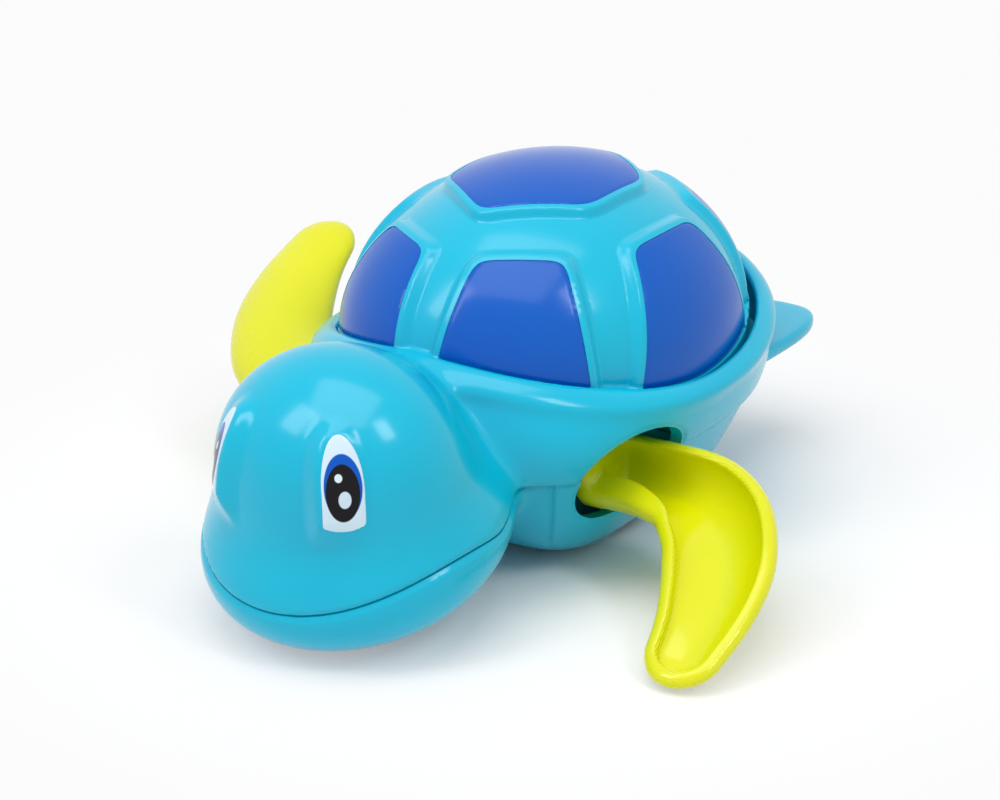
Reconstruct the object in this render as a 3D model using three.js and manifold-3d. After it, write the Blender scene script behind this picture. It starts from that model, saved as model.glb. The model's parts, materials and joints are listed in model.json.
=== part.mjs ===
// Wind-up bath toy: a swimming turtle whose two scoop flippers turn on one clockwork axle.
// Millimetres, +Z up. The turtle faces -Y and its own left is +X.
// The origin is the middle of the flat that the hull rests on.

import * as THREE from 'three';
import { mergeVertices } from 'three/addons/utils/BufferGeometryUtils.js';
import Module from 'manifold-3d';

const wasm = await Module();
wasm.setup();

// Driving dimensions
const WALL = 2.0;                 // moulded wall of both body shells and the carapace
const SEAM_GAP = 0.3;             // open line between the two body shells
const FIT = 0.3;                  // clearance where one piece seats in another
const SEAM_Z = 18.8;              // height of the parting line round the hull
const MOUTH_Z = 8.6;              // height of the same line at the nose, where it is the mouth
const CHEEK_Z = 16.5;             // and along the cheek
const CHEEK_SHARE = 0.62;         // share of the mouth's length in which it climbs to the cheek
const MOUTH_FRONT_Y = -73;
const MOUTH_BACK_Y = -34;

const DOME_BASE_Z = 31.3;         // level where the carapace is widest
const DOME_X = 28.8;              // half width, half length and rise of the carapace
const DOME_Y = 34.0;
const DOME_RISE = 24.2;
const DOME_FOOT_Z = 26.0;
const FOOT_X = 30.05;             // ring round the carapace's foot
const FOOT_Y = 35.15;
const FOOT_BELOW_CREST = 0.8;     // top of that ring under the rim's crest

const RIM_CENTRE_Y = 1.4;         // the rim stands off the carapace a little more at the rear
const RIM_X = 33.5;               // outside of the rim round the carapace
const RIM_Y = 39.7;
const RIM_SIDE_Z = 29.3;          // the rim dips over the flippers and rises at neck and rear
const RIM_FRONT_Z = 36.8;
const RIM_REAR_Z = 36.0;
const RIM_BEAD = 0.7;
const HULL_TAPER_X = 13.5;        // how far the hull draws in from the rim to its flat bottom
const HULL_TAPER_FRONT = 8;
const HULL_TAPER_REAR = 11;
const HULL_TAPER_POWER = 1.36;
const OVERHANG = 0.9;             // the skirt stands out over the hull at the parting line
const BILGE = 12;                 // rounding between the hull's sides and its bottom
const BOW_RISE = 9;               // how far the bottom sweeps up under the neck
const BOW_START_Y = -10;
const BOW_LENGTH = 22;

const MUZZLE = { centre: [0, -49.1, 13.85], radii: [23.0, 24.1, 12.5], tilt: 17.4 };
const CRANIUM = { centre: [0, -53.2, 25.9], radii: [18.5, 16.9, 16.0], tilt: 0 };
const MUZZLE_BLEND = 14;
const NECK_BLEND = 8;
const TUCK = 0.35;                // depth at which the neck's fillet ends under the hull's skin

const LEDGE_TOP_Z = 25.7;         // ring inside the rim that the carapace stands on
const LEDGE_THICKNESS = 2.0;
const POCKET_X = 30.7;
const POCKET_Y = 36.9;
const WINDOW_X = 23.5;            // opening in the ledge that the clockwork reaches up through
const WINDOW_Y = 28.0;

const AXLE_Y = -16;               // flipper axle, square to the turtle's length
const AXLE_Z = 17.1;
const AXLE_RADIUS = 1.5;
const AXLE_HALF_LENGTH = 20.6;
const FLIPPER_DROP = 27;          // left blade's slope below level, in degrees, as it stands

const PORT_Y = -17;               // side opening that a flipper hub turns in
const PORT_ARCH_HALF = 11.5;      // half width and height of its arch in the skirt
const PORT_ARCH = 6.1;
const PORT_BOWL_HALF = 10.4;      // half width and depth of its lower part, in the hull
const PORT_BOWL = 9.3;
const WELL_FROM_X = 15.3;         // walls behind the ports that keep the water from the clockwork
const WELL_TO_X = 16.8;
const WELL_LENGTH = 29;
const WELL_HEIGHT = 19;
const WELL_HOLE = 2.2;            // radius the axle passes through

const TOOTH_MODULE = 0.8;
const AXLE_TEETH = 10;
const IDLER_TEETH = 24;
const IDLER_PINION_TEETH = 8;
const SPRING_TEETH = 24;
const GEAR_WIDTH = 2.6;

const TEAL = { color: 0x14b4dc, roughness: 0.22, metalness: 0 };
const BLUE = { color: 0x0560c8, roughness: 0.2, metalness: 0 };
const LIME = { color: 0xdcec0a, roughness: 0.3, metalness: 0 };
const EYE_WHITE = { color: 0xdff0fa, roughness: 0.25, metalness: 0 };
const MOTOR_WHITE = { color: 0xe8e8e0, roughness: 0.45, metalness: 0 };
const GEAR_WHITE = { color: 0xf2f0e6, roughness: 0.5, metalness: 0 };
const STEEL = { color: 0xb8bcc2, roughness: 0.35, metalness: 1 };
const SPRING_STEEL = { color: 0x70767e, roughness: 0.3, metalness: 1 };
const BRASS = { color: 0xc9a24a, roughness: 0.35, metalness: 1 };

const radians = THREE.MathUtils.degToRad;

// Solids: closed three.js geometry in and out of the boolean library

function solidOf(geometry) {
  const bare = geometry.clone();
  bare.deleteAttribute('normal');
  bare.deleteAttribute('uv');
  const merged = mergeVertices(bare, 1e-4);
  return new wasm.Manifold(new wasm.Mesh({
    numProp: 3,
    vertProperties: new Float32Array(merged.attributes.position.array),
    triVerts: new Uint32Array(merged.index.array),
  }));
}

function geometryOf(solid) {
  const mesh = solid.getMesh();
  const geometry = new THREE.BufferGeometry();
  geometry.setAttribute('position', new THREE.BufferAttribute(mesh.vertProperties, 3));
  geometry.setIndex(new THREE.BufferAttribute(mesh.triVerts, 1));
  return geometry;
}

function joined(solids) {
  return solids.reduce((sum, solid) => sum.add(solid));
}

// Closed skin over rings of points, with a fan at each end
function ringSkin(rings, firstPole, lastPole) {
  const sides = rings[0].length;
  const points = [firstPole, ...rings.flat(), lastPole];
  const faces = [];
  const last = points.length - 1;
  for (let i = 0; i < sides; i++) {
    const j = (i + 1) % sides;
    faces.push(0, 1 + j, 1 + i);
    for (let r = 0; r < rings.length - 1; r++) {
      const a = 1 + r * sides;
      const b = a + sides;
      faces.push(a + i, a + j, b + j, a + i, b + j, b + i);
    }
    const tail = 1 + (rings.length - 1) * sides;
    faces.push(last, tail + i, tail + j);
  }
  const geometry = new THREE.BufferGeometry();
  geometry.setAttribute('position', new THREE.Float32BufferAttribute(points.flat(), 3));
  geometry.setIndex(faces);
  return geometry;
}

// Flat outline of [a, b] pairs pushed along Z, then stood up if asked
function prism(outline, from, to) {
  const shape = new THREE.Shape(outline.map(([a, b]) => new THREE.Vector2(a, b)));
  const geometry = new THREE.ExtrudeGeometry(shape, { depth: to - from, bevelEnabled: false });
  return geometry.translate(0, 0, from);
}

// Outline of [y, z] pairs pushed along X
function prismAlongX(outline, from, to) {
  const stand = new THREE.Matrix4().set(0, 0, 1, 0, 1, 0, 0, 0, 0, 1, 0, 0, 0, 0, 0, 1);
  return prism(outline, from, to).applyMatrix4(stand);
}

function ellipse(halfWidth, halfLength, count) {
  return Array.from({ length: count }, (_, i) => {
    const angle = (i / count) * 2 * Math.PI;
    return [halfWidth * Math.cos(angle), halfLength * Math.sin(angle)];
  });
}

// Turned piece on the X axis: profile of [radius, x] pairs, from axis to axis
function turned(profile, sides) {
  const points = profile.map(([radius, x]) => new THREE.Vector2(radius, x));
  return new THREE.LatheGeometry(points, sides).rotateZ(-Math.PI / 2);
}

function rod(radius, from, to, sides) {
  return turned([[0, from], [radius, from], [radius, to], [0, to]], sides);
}

function upright(radius, x, y, from, to, sides = 12) {
  return solidOf(rod(radius, from, to, sides).rotateY(-Math.PI / 2).translate(x, y, 0));
}

// Body skin as a field that is zero on the surface and grows by about 1 for each mm outside it

function smoothMin(a, b, blend) {
  const h = Math.max(blend - Math.abs(a - b), 0) / blend;
  return Math.min(a, b) - (h * h * h * blend) / 6;
}

function smoothMax(a, b, blend) {
  return -smoothMin(-a, -b, blend);
}

function smoothStep(t) {
  const s = Math.min(Math.max(t, 0), 1);
  return s * s * (3 - 2 * s);
}

function ellipsoidField(x, y, z, { centre, radii, tilt }) {
  const cos = Math.cos(radians(tilt));
  const sin = Math.sin(radians(tilt));
  const dy = y - centre[1];
  const dz = z - centre[2];
  const local = [x - centre[0], cos * dy + sin * dz, cos * dz - sin * dy];
  const scaled = Math.hypot(...local.map((value, i) => value / radii[i]));
  const slope = Math.hypot(...local.map((value, i) => value / (radii[i] * radii[i])));
  return (scaled * (scaled - 1)) / Math.max(slope, 1e-9);
}

// Height of the rim; turn is 0 at the neck, 1 at the flippers' side and 2 at the rear
function rimHeight(x, y) {
  const turn = Math.atan2(Math.abs(x) / RIM_X, (RIM_CENTRE_Y - y) / RIM_Y) / (Math.PI / 2);
  const front = RIM_FRONT_Z - RIM_SIDE_Z;
  const rear = RIM_REAR_Z - RIM_SIDE_Z;
  return RIM_SIDE_Z + front * (1 - smoothStep(turn / 0.95)) + rear * smoothStep((turn - 0.9) / 1.1);
}

function hullField(x, y, z) {
  const along = y - RIM_CENTRE_Y;
  const rimZ = rimHeight(x, y);
  const below = Math.max(1 - z / rimZ, 0);
  const drawIn = Math.pow(below, HULL_TAPER_POWER);
  const forward = smoothStep(0.5 - along / 30);
  const endTaper = HULL_TAPER_REAR + (HULL_TAPER_FRONT - HULL_TAPER_REAR) * forward;
  const bead = RIM_BEAD * Math.exp(-(((z - rimZ + 2.2) / 1.6) ** 2));
  const tuck = OVERHANG * smoothStep((SEAM_Z + 0.6 - z) / 1.2);
  const halfWidth = RIM_X - HULL_TAPER_X * drawIn + bead - tuck;
  const halfLength = RIM_Y - endTaper * drawIn + bead - tuck;
  const power = 2 + (0.5 + 1.2 * forward) * smoothStep(below / 0.4);
  const reach = (Math.abs(x / halfWidth) ** power + Math.abs(along / halfLength) ** power) ** (1 / power);
  const radius = Math.hypot(x, along);
  const side = reach < 1e-6 ? -halfWidth : radius - radius / reach;
  const floor = BOW_RISE * (Math.max(BOW_START_Y - y, 0) / BOW_LENGTH) ** 2;
  return smoothMax(smoothMax(side, z - rimZ, 5), floor - z, BILGE);
}

function headField(x, y, z) {
  return smoothMin(ellipsoidField(x, y, z, MUZZLE), ellipsoidField(x, y, z, CRANIUM), MUZZLE_BLEND);
}

function bodyField(x, y, z) {
  return smoothMin(headField(x, y, z), hullField(x, y, z), NECK_BLEND);
}

// Where a ray meets a field's surface, or the surface a given depth below it
function skinPoint(origin, direction, depth, field = bodyField) {
  const value = (t) => field(
    origin[0] + direction[0] * t, origin[1] + direction[1] * t, origin[2] + direction[2] * t) + depth;
  let far = 0.5;
  while (value(far) < 0) {
    far += 0.5;
  }
  let near = far - 0.5;
  for (let i = 0; i < 24; i++) {
    const middle = (near + far) / 2;
    if (value(middle) < 0) {
      near = middle;
    } else {
      far = middle;
    }
  }
  return origin.map((value0, i) => value0 + direction[i] * near);
}

const SPINE_Z = 16;
const NOSE_FAN_Y = -57;
const REAR_FAN_Y = 24;
const NECK_END_Y = -15;

// One slice across the body, leaned forward or back about the spine line
function bodySlice(y, lean, depth, sides, field) {
  return Array.from({ length: sides }, (_, i) => {
    const angle = (i / sides) * 2 * Math.PI;
    const across = Math.cos(lean);
    const direction = [across * Math.cos(angle), -Math.sin(lean), -across * Math.sin(angle)];
    return skinPoint([0, y, SPINE_Z], direction, depth, field);
  });
}

function noseSlices(depth, sliceStep, sides, endY, field) {
  const fan = Math.max(4, Math.round(20 / sliceStep));
  const count = Math.round((endY - NOSE_FAN_Y) / sliceStep);
  const slices = [];
  for (let i = fan - 1; i > 0; i--) {
    slices.push(bodySlice(NOSE_FAN_Y, (i / fan) * (Math.PI / 2), depth, sides, field));
  }
  for (let i = 0; i <= count; i++) {
    slices.push(bodySlice(NOSE_FAN_Y + ((endY - NOSE_FAN_Y) * i) / count, 0, depth, sides, field));
  }
  return slices;
}

// Whole body: slices fanned round the nose and the rear, joined into one closed skin
function bodySkin(depth, sliceStep, sides) {
  const rings = noseSlices(depth, sliceStep, sides, REAR_FAN_Y, bodyField);
  const fan = Math.max(4, Math.round(20 / sliceStep));
  for (let i = 1; i < fan; i++) {
    rings.push(bodySlice(REAR_FAN_Y, (-i / fan) * (Math.PI / 2), depth, sides, bodyField));
  }
  const nose = skinPoint([0, NOSE_FAN_Y, SPINE_Z], [0, -1, 0], depth);
  const rear = skinPoint([0, REAR_FAN_Y, SPINE_Z], [0, 1, 0], depth);
  return solidOf(ringSkin(rings, nose, rear));
}

// Head and the fillet of its neck, dipping just under the tub's skin behind it
function headSkin(sliceStep, sides) {
  const field = (x, y, z) => smoothMin(headField(x, y, z), hullField(x, y, z) + TUCK, NECK_BLEND);
  const rings = noseSlices(0, sliceStep, sides, NECK_END_Y, field);
  const nose = skinPoint([0, NOSE_FAN_Y, SPINE_Z], [0, -1, 0], 0, field);
  return solidOf(ringSkin(rings, nose, [0, NECK_END_Y, SPINE_Z]));
}

// Tub of the body, ring above ring from its flat bottom to the crest of the rim
function tub(sides) {
  const ring = (origin, out, up) => ellipse(1, 1, sides).map(([cos, sin]) => {
    const rim = 1 / Math.hypot(cos / RIM_X, sin / RIM_Y);
    const crest = rimHeight(cos, RIM_CENTRE_Y + sin);
    const [radius, z] = origin(rim, crest);
    const start = [cos * radius, RIM_CENTRE_Y + sin * radius, z];
    return skinPoint(start, [cos * out, sin * out, up], 0, hullField);
  });
  const rings = [
    ring(() => [7, 14], 0, -1),
    ring((rim) => [rim - 20, 14], 0.4, -0.92),
    ring((rim) => [rim - 20, 14], 0.7, -0.71),
    ring((rim) => [rim - 20, 14], 0.9, -0.44),
    ring(() => [5, 13.5], 1, 0),
    ring(() => [5, SEAM_Z - 0.6], 1, 0),
    ring(() => [5, SEAM_Z + 0.6], 1, 0),
    ring((rim, crest) => [5, crest - 7], 1, 0),
    ring((rim, crest) => [5, crest - 4.2], 1, 0),
    ring((rim, crest) => [5, crest - 2.2], 1, 0),
    ring((rim, crest) => [rim - 3.5, crest - 3.5], 0.8, 0.6),
    ring((rim, crest) => [rim - 3.2, crest - 3.5], 0.25, 0.97),
  ];
  return solidOf(ringSkin(rings, [0, RIM_CENTRE_Y, 0], [0, RIM_CENTRE_Y, RIM_REAR_Z - 2]));
}

// Parting surface: level round the hull, swept down to the mouth under the head
function seamHeight(y) {
  const t = (y - MOUTH_FRONT_Y) / (MOUTH_BACK_Y - MOUTH_FRONT_Y);
  const s = Math.min(Math.max(t, 0), 1);
  const climb = Math.sin((Math.min(s / CHEEK_SHARE, 1) * Math.PI) / 2);
  return MOUTH_Z + (CHEEK_Z - MOUTH_Z) * climb + (SEAM_Z - CHEEK_Z) * smoothStep((s - 0.7) / 0.3);
}

function seamSide(offset, limit) {
  const line = [[-90, seamHeight(-90) + offset]];
  for (let y = MOUTH_FRONT_Y; y <= MOUTH_BACK_Y; y += 2.8) {
    line.push([y, seamHeight(y) + offset]);
  }
  line.push([70, seamHeight(70) + offset], [70, limit], [-90, limit]);
  return solidOf(prismAlongX(line, -60, 60));
}

function portOutline() {
  const half = Array.from({ length: 11 }, (_, i) => (i / 10) * Math.PI);
  const arch = half.map((angle) => [
    PORT_Y + PORT_ARCH_HALF * Math.cos(angle), SEAM_Z + PORT_ARCH * Math.sin(angle)]);
  const bowl = half.map((angle) => [
    PORT_Y - PORT_BOWL_HALF * Math.cos(angle), SEAM_Z - PORT_BOWL * Math.sin(angle)]);
  return [...arch, ...bowl];
}

const portCut = joined([
  solidOf(prismAlongX(portOutline(), 17, 45)),
  solidOf(prismAlongX(portOutline(), -45, -17)),
]);

// Hull screws: post in the lower hull, post in the upper body, counterbore from below
const SCREW_SITES = {
  jaw: [0, -52],
  left_front: [15, -2],
  right_front: [-15, -2],
  left_rear: [12.5, 17],
  right_rear: [-12.5, 17],
};
const SCREW_HEAD_Z = 4.2;
const POST_RADIUS = 3.0;

// Elliptical prism on the middle of the rim
function rimEllipse(halfWidth, halfLength, sides, from, to) {
  const geometry = prism(ellipse(halfWidth, halfLength, sides), from, to);
  return solidOf(geometry.translate(0, RIM_CENTRE_Y, 0));
}

const outerSkin = tub(34).add(headSkin(3.7, 30));
const innerSkin = bodySkin(WALL, 7, 20);
const postTrim = bodySkin(0.7, 7, 18);
const ledge = rimEllipse(RIM_X + 2, RIM_Y + 2, 32, LEDGE_TOP_Z - LEDGE_THICKNESS, LEDGE_TOP_Z);
const hollow = innerSkin.subtract(ledge);
const bodyShell = outerSkin.subtract(hollow);

function screwPosts(siteTop, radius) {
  return joined(Object.values(SCREW_SITES).map(([x, y]) => upright(radius, x, y, 0.2, siteTop, 12)));
}

function portWells() {
  const walls = [1, -1].map((side) => {
    const wall = new THREE.BoxGeometry(WELL_TO_X - WELL_FROM_X, WELL_LENGTH, WELL_HEIGHT);
    return solidOf(wall.translate((side * (WELL_FROM_X + WELL_TO_X)) / 2, PORT_Y, 15.3));
  });
  const axleHole = solidOf(rod(WELL_HOLE, -20, 20, 12).translate(0, AXLE_Y, AXLE_Z));
  return joined(walls).subtract(axleHole);
}

const posts = screwPosts(40, POST_RADIUS).add(portWells()).intersect(postTrim);
const ledgeUnderside = rimEllipse(WINDOW_X + 8, WINDOW_Y + 9, 32, LEDGE_TOP_Z - 0.5, 60);

// Rear paddles of the upper body, flat and rounded, trailing under the rim
const PADDLE = { floorZ: 19.2, thickness: 2.6, steps: 20 };
const PADDLE_EDGE = new THREE.CatmullRomCurve3([
  [26.2, 26], [26.8, 38.5], [23.8, 45.6], [19.4, 50.6], [15.2, 52.3],
  [11.2, 50.6], [8.6, 45.6], [7.6, 38], [7.6, 26],
].map(([x, y]) => new THREE.Vector3(x, y, 0)));

function paddle(side) {
  const { floorZ, thickness, steps } = PADDLE;
  const outline = PADDLE_EDGE.getSpacedPoints(steps).map((p) => [p.x, p.y]);
  const bevel = 0.9;
  const shape = new THREE.Shape(outline.map(([a, b]) => new THREE.Vector2(a, b)));
  const geometry = new THREE.ExtrudeGeometry(shape, {
    depth: thickness - 2 * bevel,
    bevelThickness: bevel,
    bevelSize: bevel,
    bevelOffset: -bevel,
    bevelSegments: 1,
  });
  geometry.translate(0, 0, floorZ + bevel);
  const solid = solidOf(geometry);
  return side > 0 ? solid : solid.mirror([1, 0, 0]);
}

// Eye inserts: arched plates let into shallow recesses in the head
const EYE = { x: 10.8, y: -66.3, z: 28.9, halfWidth: 3.1, height: 13.7, yaw: 33 };

function eyePrism(side, grow) {
  const outline = [];
  const half = EYE.halfWidth + grow;
  const low = -EYE.height / 2 - grow;
  outline.push([-half * 0.93, low + 0.8], [0, low], [half * 0.93, low + 0.8]);
  for (let i = 0; i <= 8; i++) {
    const angle = (i / 8) * Math.PI;
    outline.push([half * Math.cos(angle), -0.5 + (EYE.height / 2 + 0.5 + grow) * Math.sin(angle)]);
  }
  const geometry = prism(outline, -10, 30);
  geometry.rotateX(Math.PI / 2).rotateZ(radians(EYE.yaw)).translate(EYE.x, EYE.y, EYE.z);
  const solid = solidOf(geometry);
  return side > 0 ? solid : solid.mirror([1, 0, 0]);
}

const eyeBand = bodySkin(-0.15, 4, 32).subtract(bodySkin(0.35, 4, 32));
const eyeRecess = bodySkin(-2, 7, 18).subtract(bodySkin(0.65, 4, 32));

function eyeInsert(side) {
  return eyeBand.intersect(eyePrism(side, 0));
}

const eyePockets = joined([1, -1].map((side) => eyePrism(side, 0.25).intersect(eyeRecess)));

// Motor case: two half boxes round the gear train, seen from the side
const IDLER_DISTANCE = (TOOTH_MODULE * (AXLE_TEETH + IDLER_TEETH)) / 2;
const SPRING_DISTANCE = (TOOTH_MODULE * (IDLER_PINION_TEETH + SPRING_TEETH)) / 2;
const TRAIN_Z = 15.6;
const IDLER_Y = AXLE_Y + Math.sqrt(IDLER_DISTANCE ** 2 - (AXLE_Z - TRAIN_Z) ** 2);
const SPRING_Y = IDLER_Y + SPRING_DISTANCE;
const CASE_HALF_WIDTH = 8.2;
const CASE_WALL = 1.3;
const CASE_NOSE = 7.2;
const CASE_DRUM = 12.2;
const EARS = [[-9.9, 29.0], [24.6, 15.6]];
const EAR_RADIUS = 2.9;
const IDLER_SHAFT_RADIUS = 1.0;
const ARBOR_RADIUS = 2.0;
const BUSH_RADIUS = 3.0;

function caseOutline(inset) {
  const circles = [
    [AXLE_Y, AXLE_Z, CASE_NOSE], [IDLER_Y, TRAIN_Z, CASE_DRUM], [SPRING_Y, TRAIN_Z, CASE_DRUM]];
  const solids = [];
  for (let i = 0; i < 2; i++) {
    const [y0, z0, r0] = circles[i];
    const [y1, z1, r1] = circles[i + 1];
    const axis = Math.atan2(z1 - z0, y1 - y0);
    const lean = Math.acos((r0 - r1) / Math.hypot(y1 - y0, z1 - z0));
    const outline = [];
    for (const [y, z, r, from, to] of [
      [y0, z0, r0, axis + lean, axis + 2 * Math.PI - lean], [y1, z1, r1, axis - lean, axis + lean]]) {
      const steps = 6;
      for (let k = 0; k <= steps; k++) {
        const angle = from + ((to - from) * k) / steps;
        outline.push([y + (r - inset) * Math.cos(angle), z + (r - inset) * Math.sin(angle)]);
      }
    }
    solids.push(outline);
  }
  return solids;
}

function caseBody(inset, from, to) {
  return joined(caseOutline(inset).map((outline) => solidOf(prismAlongX(outline, from, to))));
}

function alongX(radius, y, z, from, to, sides = 12) {
  return solidOf(rod(radius, from, to, sides).translate(0, y, z));
}

function caseHalf(side) {
  const seam = SEAM_GAP / 2;
  const ears = EARS.map(([y, z]) => alongX(EAR_RADIUS, y, z, seam, CASE_HALF_WIDTH - 3));
  const arms = EARS.map(([y, z], i) => {
    const [towardY, towardZ] = i === 0 ? [IDLER_Y, TRAIN_Z + 8] : [SPRING_Y, TRAIN_Z];
    const length = Math.hypot(towardY - y, towardZ - z);
    const bar = new THREE.BoxGeometry(CASE_HALF_WIDTH - 3 - seam, length, 3.4);
    bar.rotateX(Math.atan2(towardZ - z, towardY - y));
    return solidOf(bar.translate((CASE_HALF_WIDTH - 3 + seam) / 2, (y + towardY) / 2, (z + towardZ) / 2));
  });
  const shell = joined([caseBody(0, seam, CASE_HALF_WIDTH), ...ears, ...arms])
    .subtract(caseBody(CASE_WALL, seam - 1, CASE_HALF_WIDTH - CASE_WALL));
  const bores = joined([
    alongX(BUSH_RADIUS + FIT, AXLE_Y, AXLE_Z, 0, 20),
    alongX(IDLER_SHAFT_RADIUS + FIT, IDLER_Y, TRAIN_Z, 0, 20, 12),
    alongX(ARBOR_RADIUS + FIT, SPRING_Y, TRAIN_Z, 0, 20),
    ...EARS.map(([y, z]) => alongX(1.3, y, z, -1, 20, 12)),
  ]);
  const half = shell.subtract(bores);
  return side > 0 ? half : half.mirror([1, 0, 0]);
}

// Two ribs of the lower hull that cradle the motor case
function cradle() {
  const room = joined([caseBody(-FIT, -CASE_HALF_WIDTH - FIT, CASE_HALF_WIDTH + FIT)]);
  const ribs = [-3.3, 12.4].map((y) => {
    const rib = new THREE.BoxGeometry(24, 1.6, 11).translate(0, y, 6.5);
    return solidOf(rib);
  });
  return joined(ribs).subtract(room).intersect(postTrim);
}

function lowerHull() {
  const below = seamSide(-SEAM_GAP / 2, -20);
  const heads = joined(Object.values(SCREW_SITES).map(([x, y]) => upright(2.8, x, y, -2, SCREW_HEAD_Z)));
  const bores = joined(Object.values(SCREW_SITES).map(([x, y]) => upright(1.5, x, y, -2, 30, 8)));
  return bodyShell.add(posts.add(cradle()))
    .intersect(below)
    .subtract(portCut)
    .subtract(heads)
    .subtract(bores);
}

const CARAPACE_PEGS = [45, 135, 225, 315];

function pegSites() {
  return CARAPACE_PEGS.map((angle) => [
    (DOME_X - 0.6) * Math.sin(radians(angle)), -(DOME_Y - 0.6) * Math.cos(radians(angle))]);
}

function upperBody() {
  const above = seamSide(SEAM_GAP / 2, 90);
  const pocket = rimEllipse(POCKET_X, POCKET_Y, 40, LEDGE_TOP_Z, 60);
  const window = rimEllipse(WINDOW_X, WINDOW_Y, 24, 15, 60);
  const bores = joined(Object.entries(SCREW_SITES).map(([name, [x, y]]) => (
    upright(1.5, x, y, 0, name === 'jaw' ? 26 : 24.4, 8))));
  const pegHoles = joined(pegSites().map(([x, y]) => upright(1.3, x, y, 20, 30, 6)));
  const collar = rimEllipse(POCKET_X + 4, POCKET_Y + 1, 32, 18, LEDGE_TOP_Z);
  const hangingPosts = posts.subtract(ledgeUnderside);
  return bodyShell.subtract(pocket).subtract(window)
    .add(hangingPosts)
    .add(postRoots())
    .add(joined([1, -1].map(paddle)).subtract(collar.intersect(innerSkin)))
    .intersect(above)
    .subtract(portCut)
    .subtract(bores)
    .subtract(pegHoles)
    .subtract(eyePockets);
}

// Webs that tie the front and rear posts back to the ledge above them
function postRoots() {
  const webs = Object.entries(SCREW_SITES).filter(([name]) => name !== 'jaw').map(([, [x, y]]) => {
    const reach = Math.hypot(x / WINDOW_X, y / WINDOW_Y);
    const endX = (x / reach) * 1.12;
    const endY = (y / reach) * 1.12;
    const length = Math.hypot(endX - x, endY - y);
    const bar = new THREE.BoxGeometry(length, 4.2, LEDGE_THICKNESS).rotateZ(Math.atan2(endY - y, endX - x));
    return solidOf(bar.translate((x + endX) / 2, (y + endY) / 2, LEDGE_TOP_Z - LEDGE_THICKNESS / 2));
  });
  return joined(webs);
}

// Carapace: a domed shell that stands in the rim, with seven raised scute seats

function domeSolid(offset, around, rise, footZ) {
  const rings = [];
  const level = (angle) => {
    const cos = Math.cos(angle);
    return ellipse((DOME_X + offset) * cos, (DOME_Y + offset) * cos, around)
      .map(([x, y]) => [x, y, DOME_BASE_Z + (DOME_RISE + offset) * Math.sin(angle)]);
  };
  rings.push(ellipse(DOME_X + offset, DOME_Y + offset, around).map(([x, y]) => [x, y, footZ]));
  for (let i = 0; i < rise; i++) {
    rings.push(level((i / rise) * (Math.PI / 2)));
  }
  return solidOf(ringSkin(rings, [0, 0, footZ], [0, 0, DOME_BASE_Z + DOME_RISE + offset]));
}

const SCUTE_RISE = 1.2;
const SCUTE_THICKNESS = 0.65;
const SCUTE_GAP = 0.32;           // play round each scute in its seat
const SCUTE_LIP = 0.45;           // teal edge round the seat
const SCUTE_SLOPE = 1.1;          // run of the seat's outer slope, beyond the lip
const SCUTE_CORNER = 2.2;
const SCUTE_FACET = 6.2;           // longest straight run along a scute's edge
const DOME_AROUND = 30;
const DOME_STEPS = 6;

// A point of the dome, from its bearing round the dome and its height above the widest level
function domePoint(bearing, height) {
  const shrink = height > 0 ? Math.sqrt(1 - (height / DOME_RISE) ** 2) : 1;
  return new THREE.Vector3(
    DOME_X * shrink * Math.sin(radians(bearing)), -DOME_Y * shrink * Math.cos(radians(bearing)), height);
}

function sideScuteCorners(bearing) {
  const facingSide = Math.abs(bearing) === 90;
  const [footSpan, topSpan] = facingSide ? [24.6, 18.3] : [21.8, 16.3];
  const topHeight = 16.5;
  const foot = -2.7;
  return [
    domePoint(bearing - footSpan, foot),
    domePoint(bearing + footSpan, foot),
    domePoint(bearing + topSpan, topHeight),
    domePoint(bearing - topSpan, topHeight),
  ];
}

function topScuteCorners() {
  const plan = [[0, -16.7], [12.2, -7.3], [12.2, 7.3], [0, 16.7], [-12.2, 7.3], [-12.2, -7.3]];
  return plan.map(([x, y]) => {
    const inside = 1 - (x / DOME_X) ** 2 - (y / DOME_Y) ** 2;
    return new THREE.Vector3(x, y, DOME_RISE * Math.sqrt(inside));
  });
}

const SCUTES = {
  scute_top: topScuteCorners(),
  scute_front_left: sideScuteCorners(28.5),
  scute_front_right: sideScuteCorners(-28.5),
  scute_side_left: sideScuteCorners(90),
  scute_side_right: sideScuteCorners(-90),
  scute_rear_left: sideScuteCorners(151.5),
  scute_rear_right: sideScuteCorners(-151.5),
};

// Straight run on the dome, cut into pieces short enough to follow its curve
function scuteOutline(corners) {
  return corners.flatMap((corner, i) => {
    const before = corners[(i + corners.length - 1) % corners.length];
    const after = corners[(i + 1) % corners.length];
    const arrive = before.clone().sub(corner).setLength(SCUTE_CORNER).add(corner);
    const leave = after.clone().sub(corner).setLength(SCUTE_CORNER).add(corner);
    const end = corner.clone().sub(after).setLength(SCUTE_CORNER).add(after);
    const pieces = Math.max(1, Math.round(leave.distanceTo(end) / SCUTE_FACET));
    const run = Array.from({ length: pieces }, (_, k) => leave.clone().lerp(end, k / pieces));
    return [arrive, ...run];
  });
}

// The point straight out from the dome's centre, a level above its surface
function onDome(point, level) {
  const flat = Math.hypot(point.x / (DOME_X + level), point.y / (DOME_Y + level));
  const reach = point.z > 0 ? Math.hypot(flat, point.z / (DOME_RISE + level)) : flat;
  return [point.x / reach, point.y / reach, DOME_BASE_Z + point.z / reach];
}

function middleOf(outline) {
  return outline.reduce((sum, p) => sum.add(p), new THREE.Vector3()).divideScalar(outline.length);
}

function scuteRing(outline, level, grow, share = 1) {
  const middle = middleOf(outline);
  return outline.map((p) => {
    const outward = p.clone().sub(middle);
    return onDome(outward.setLength((outward.length() + grow) * share).add(middle), level);
  });
}

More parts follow.
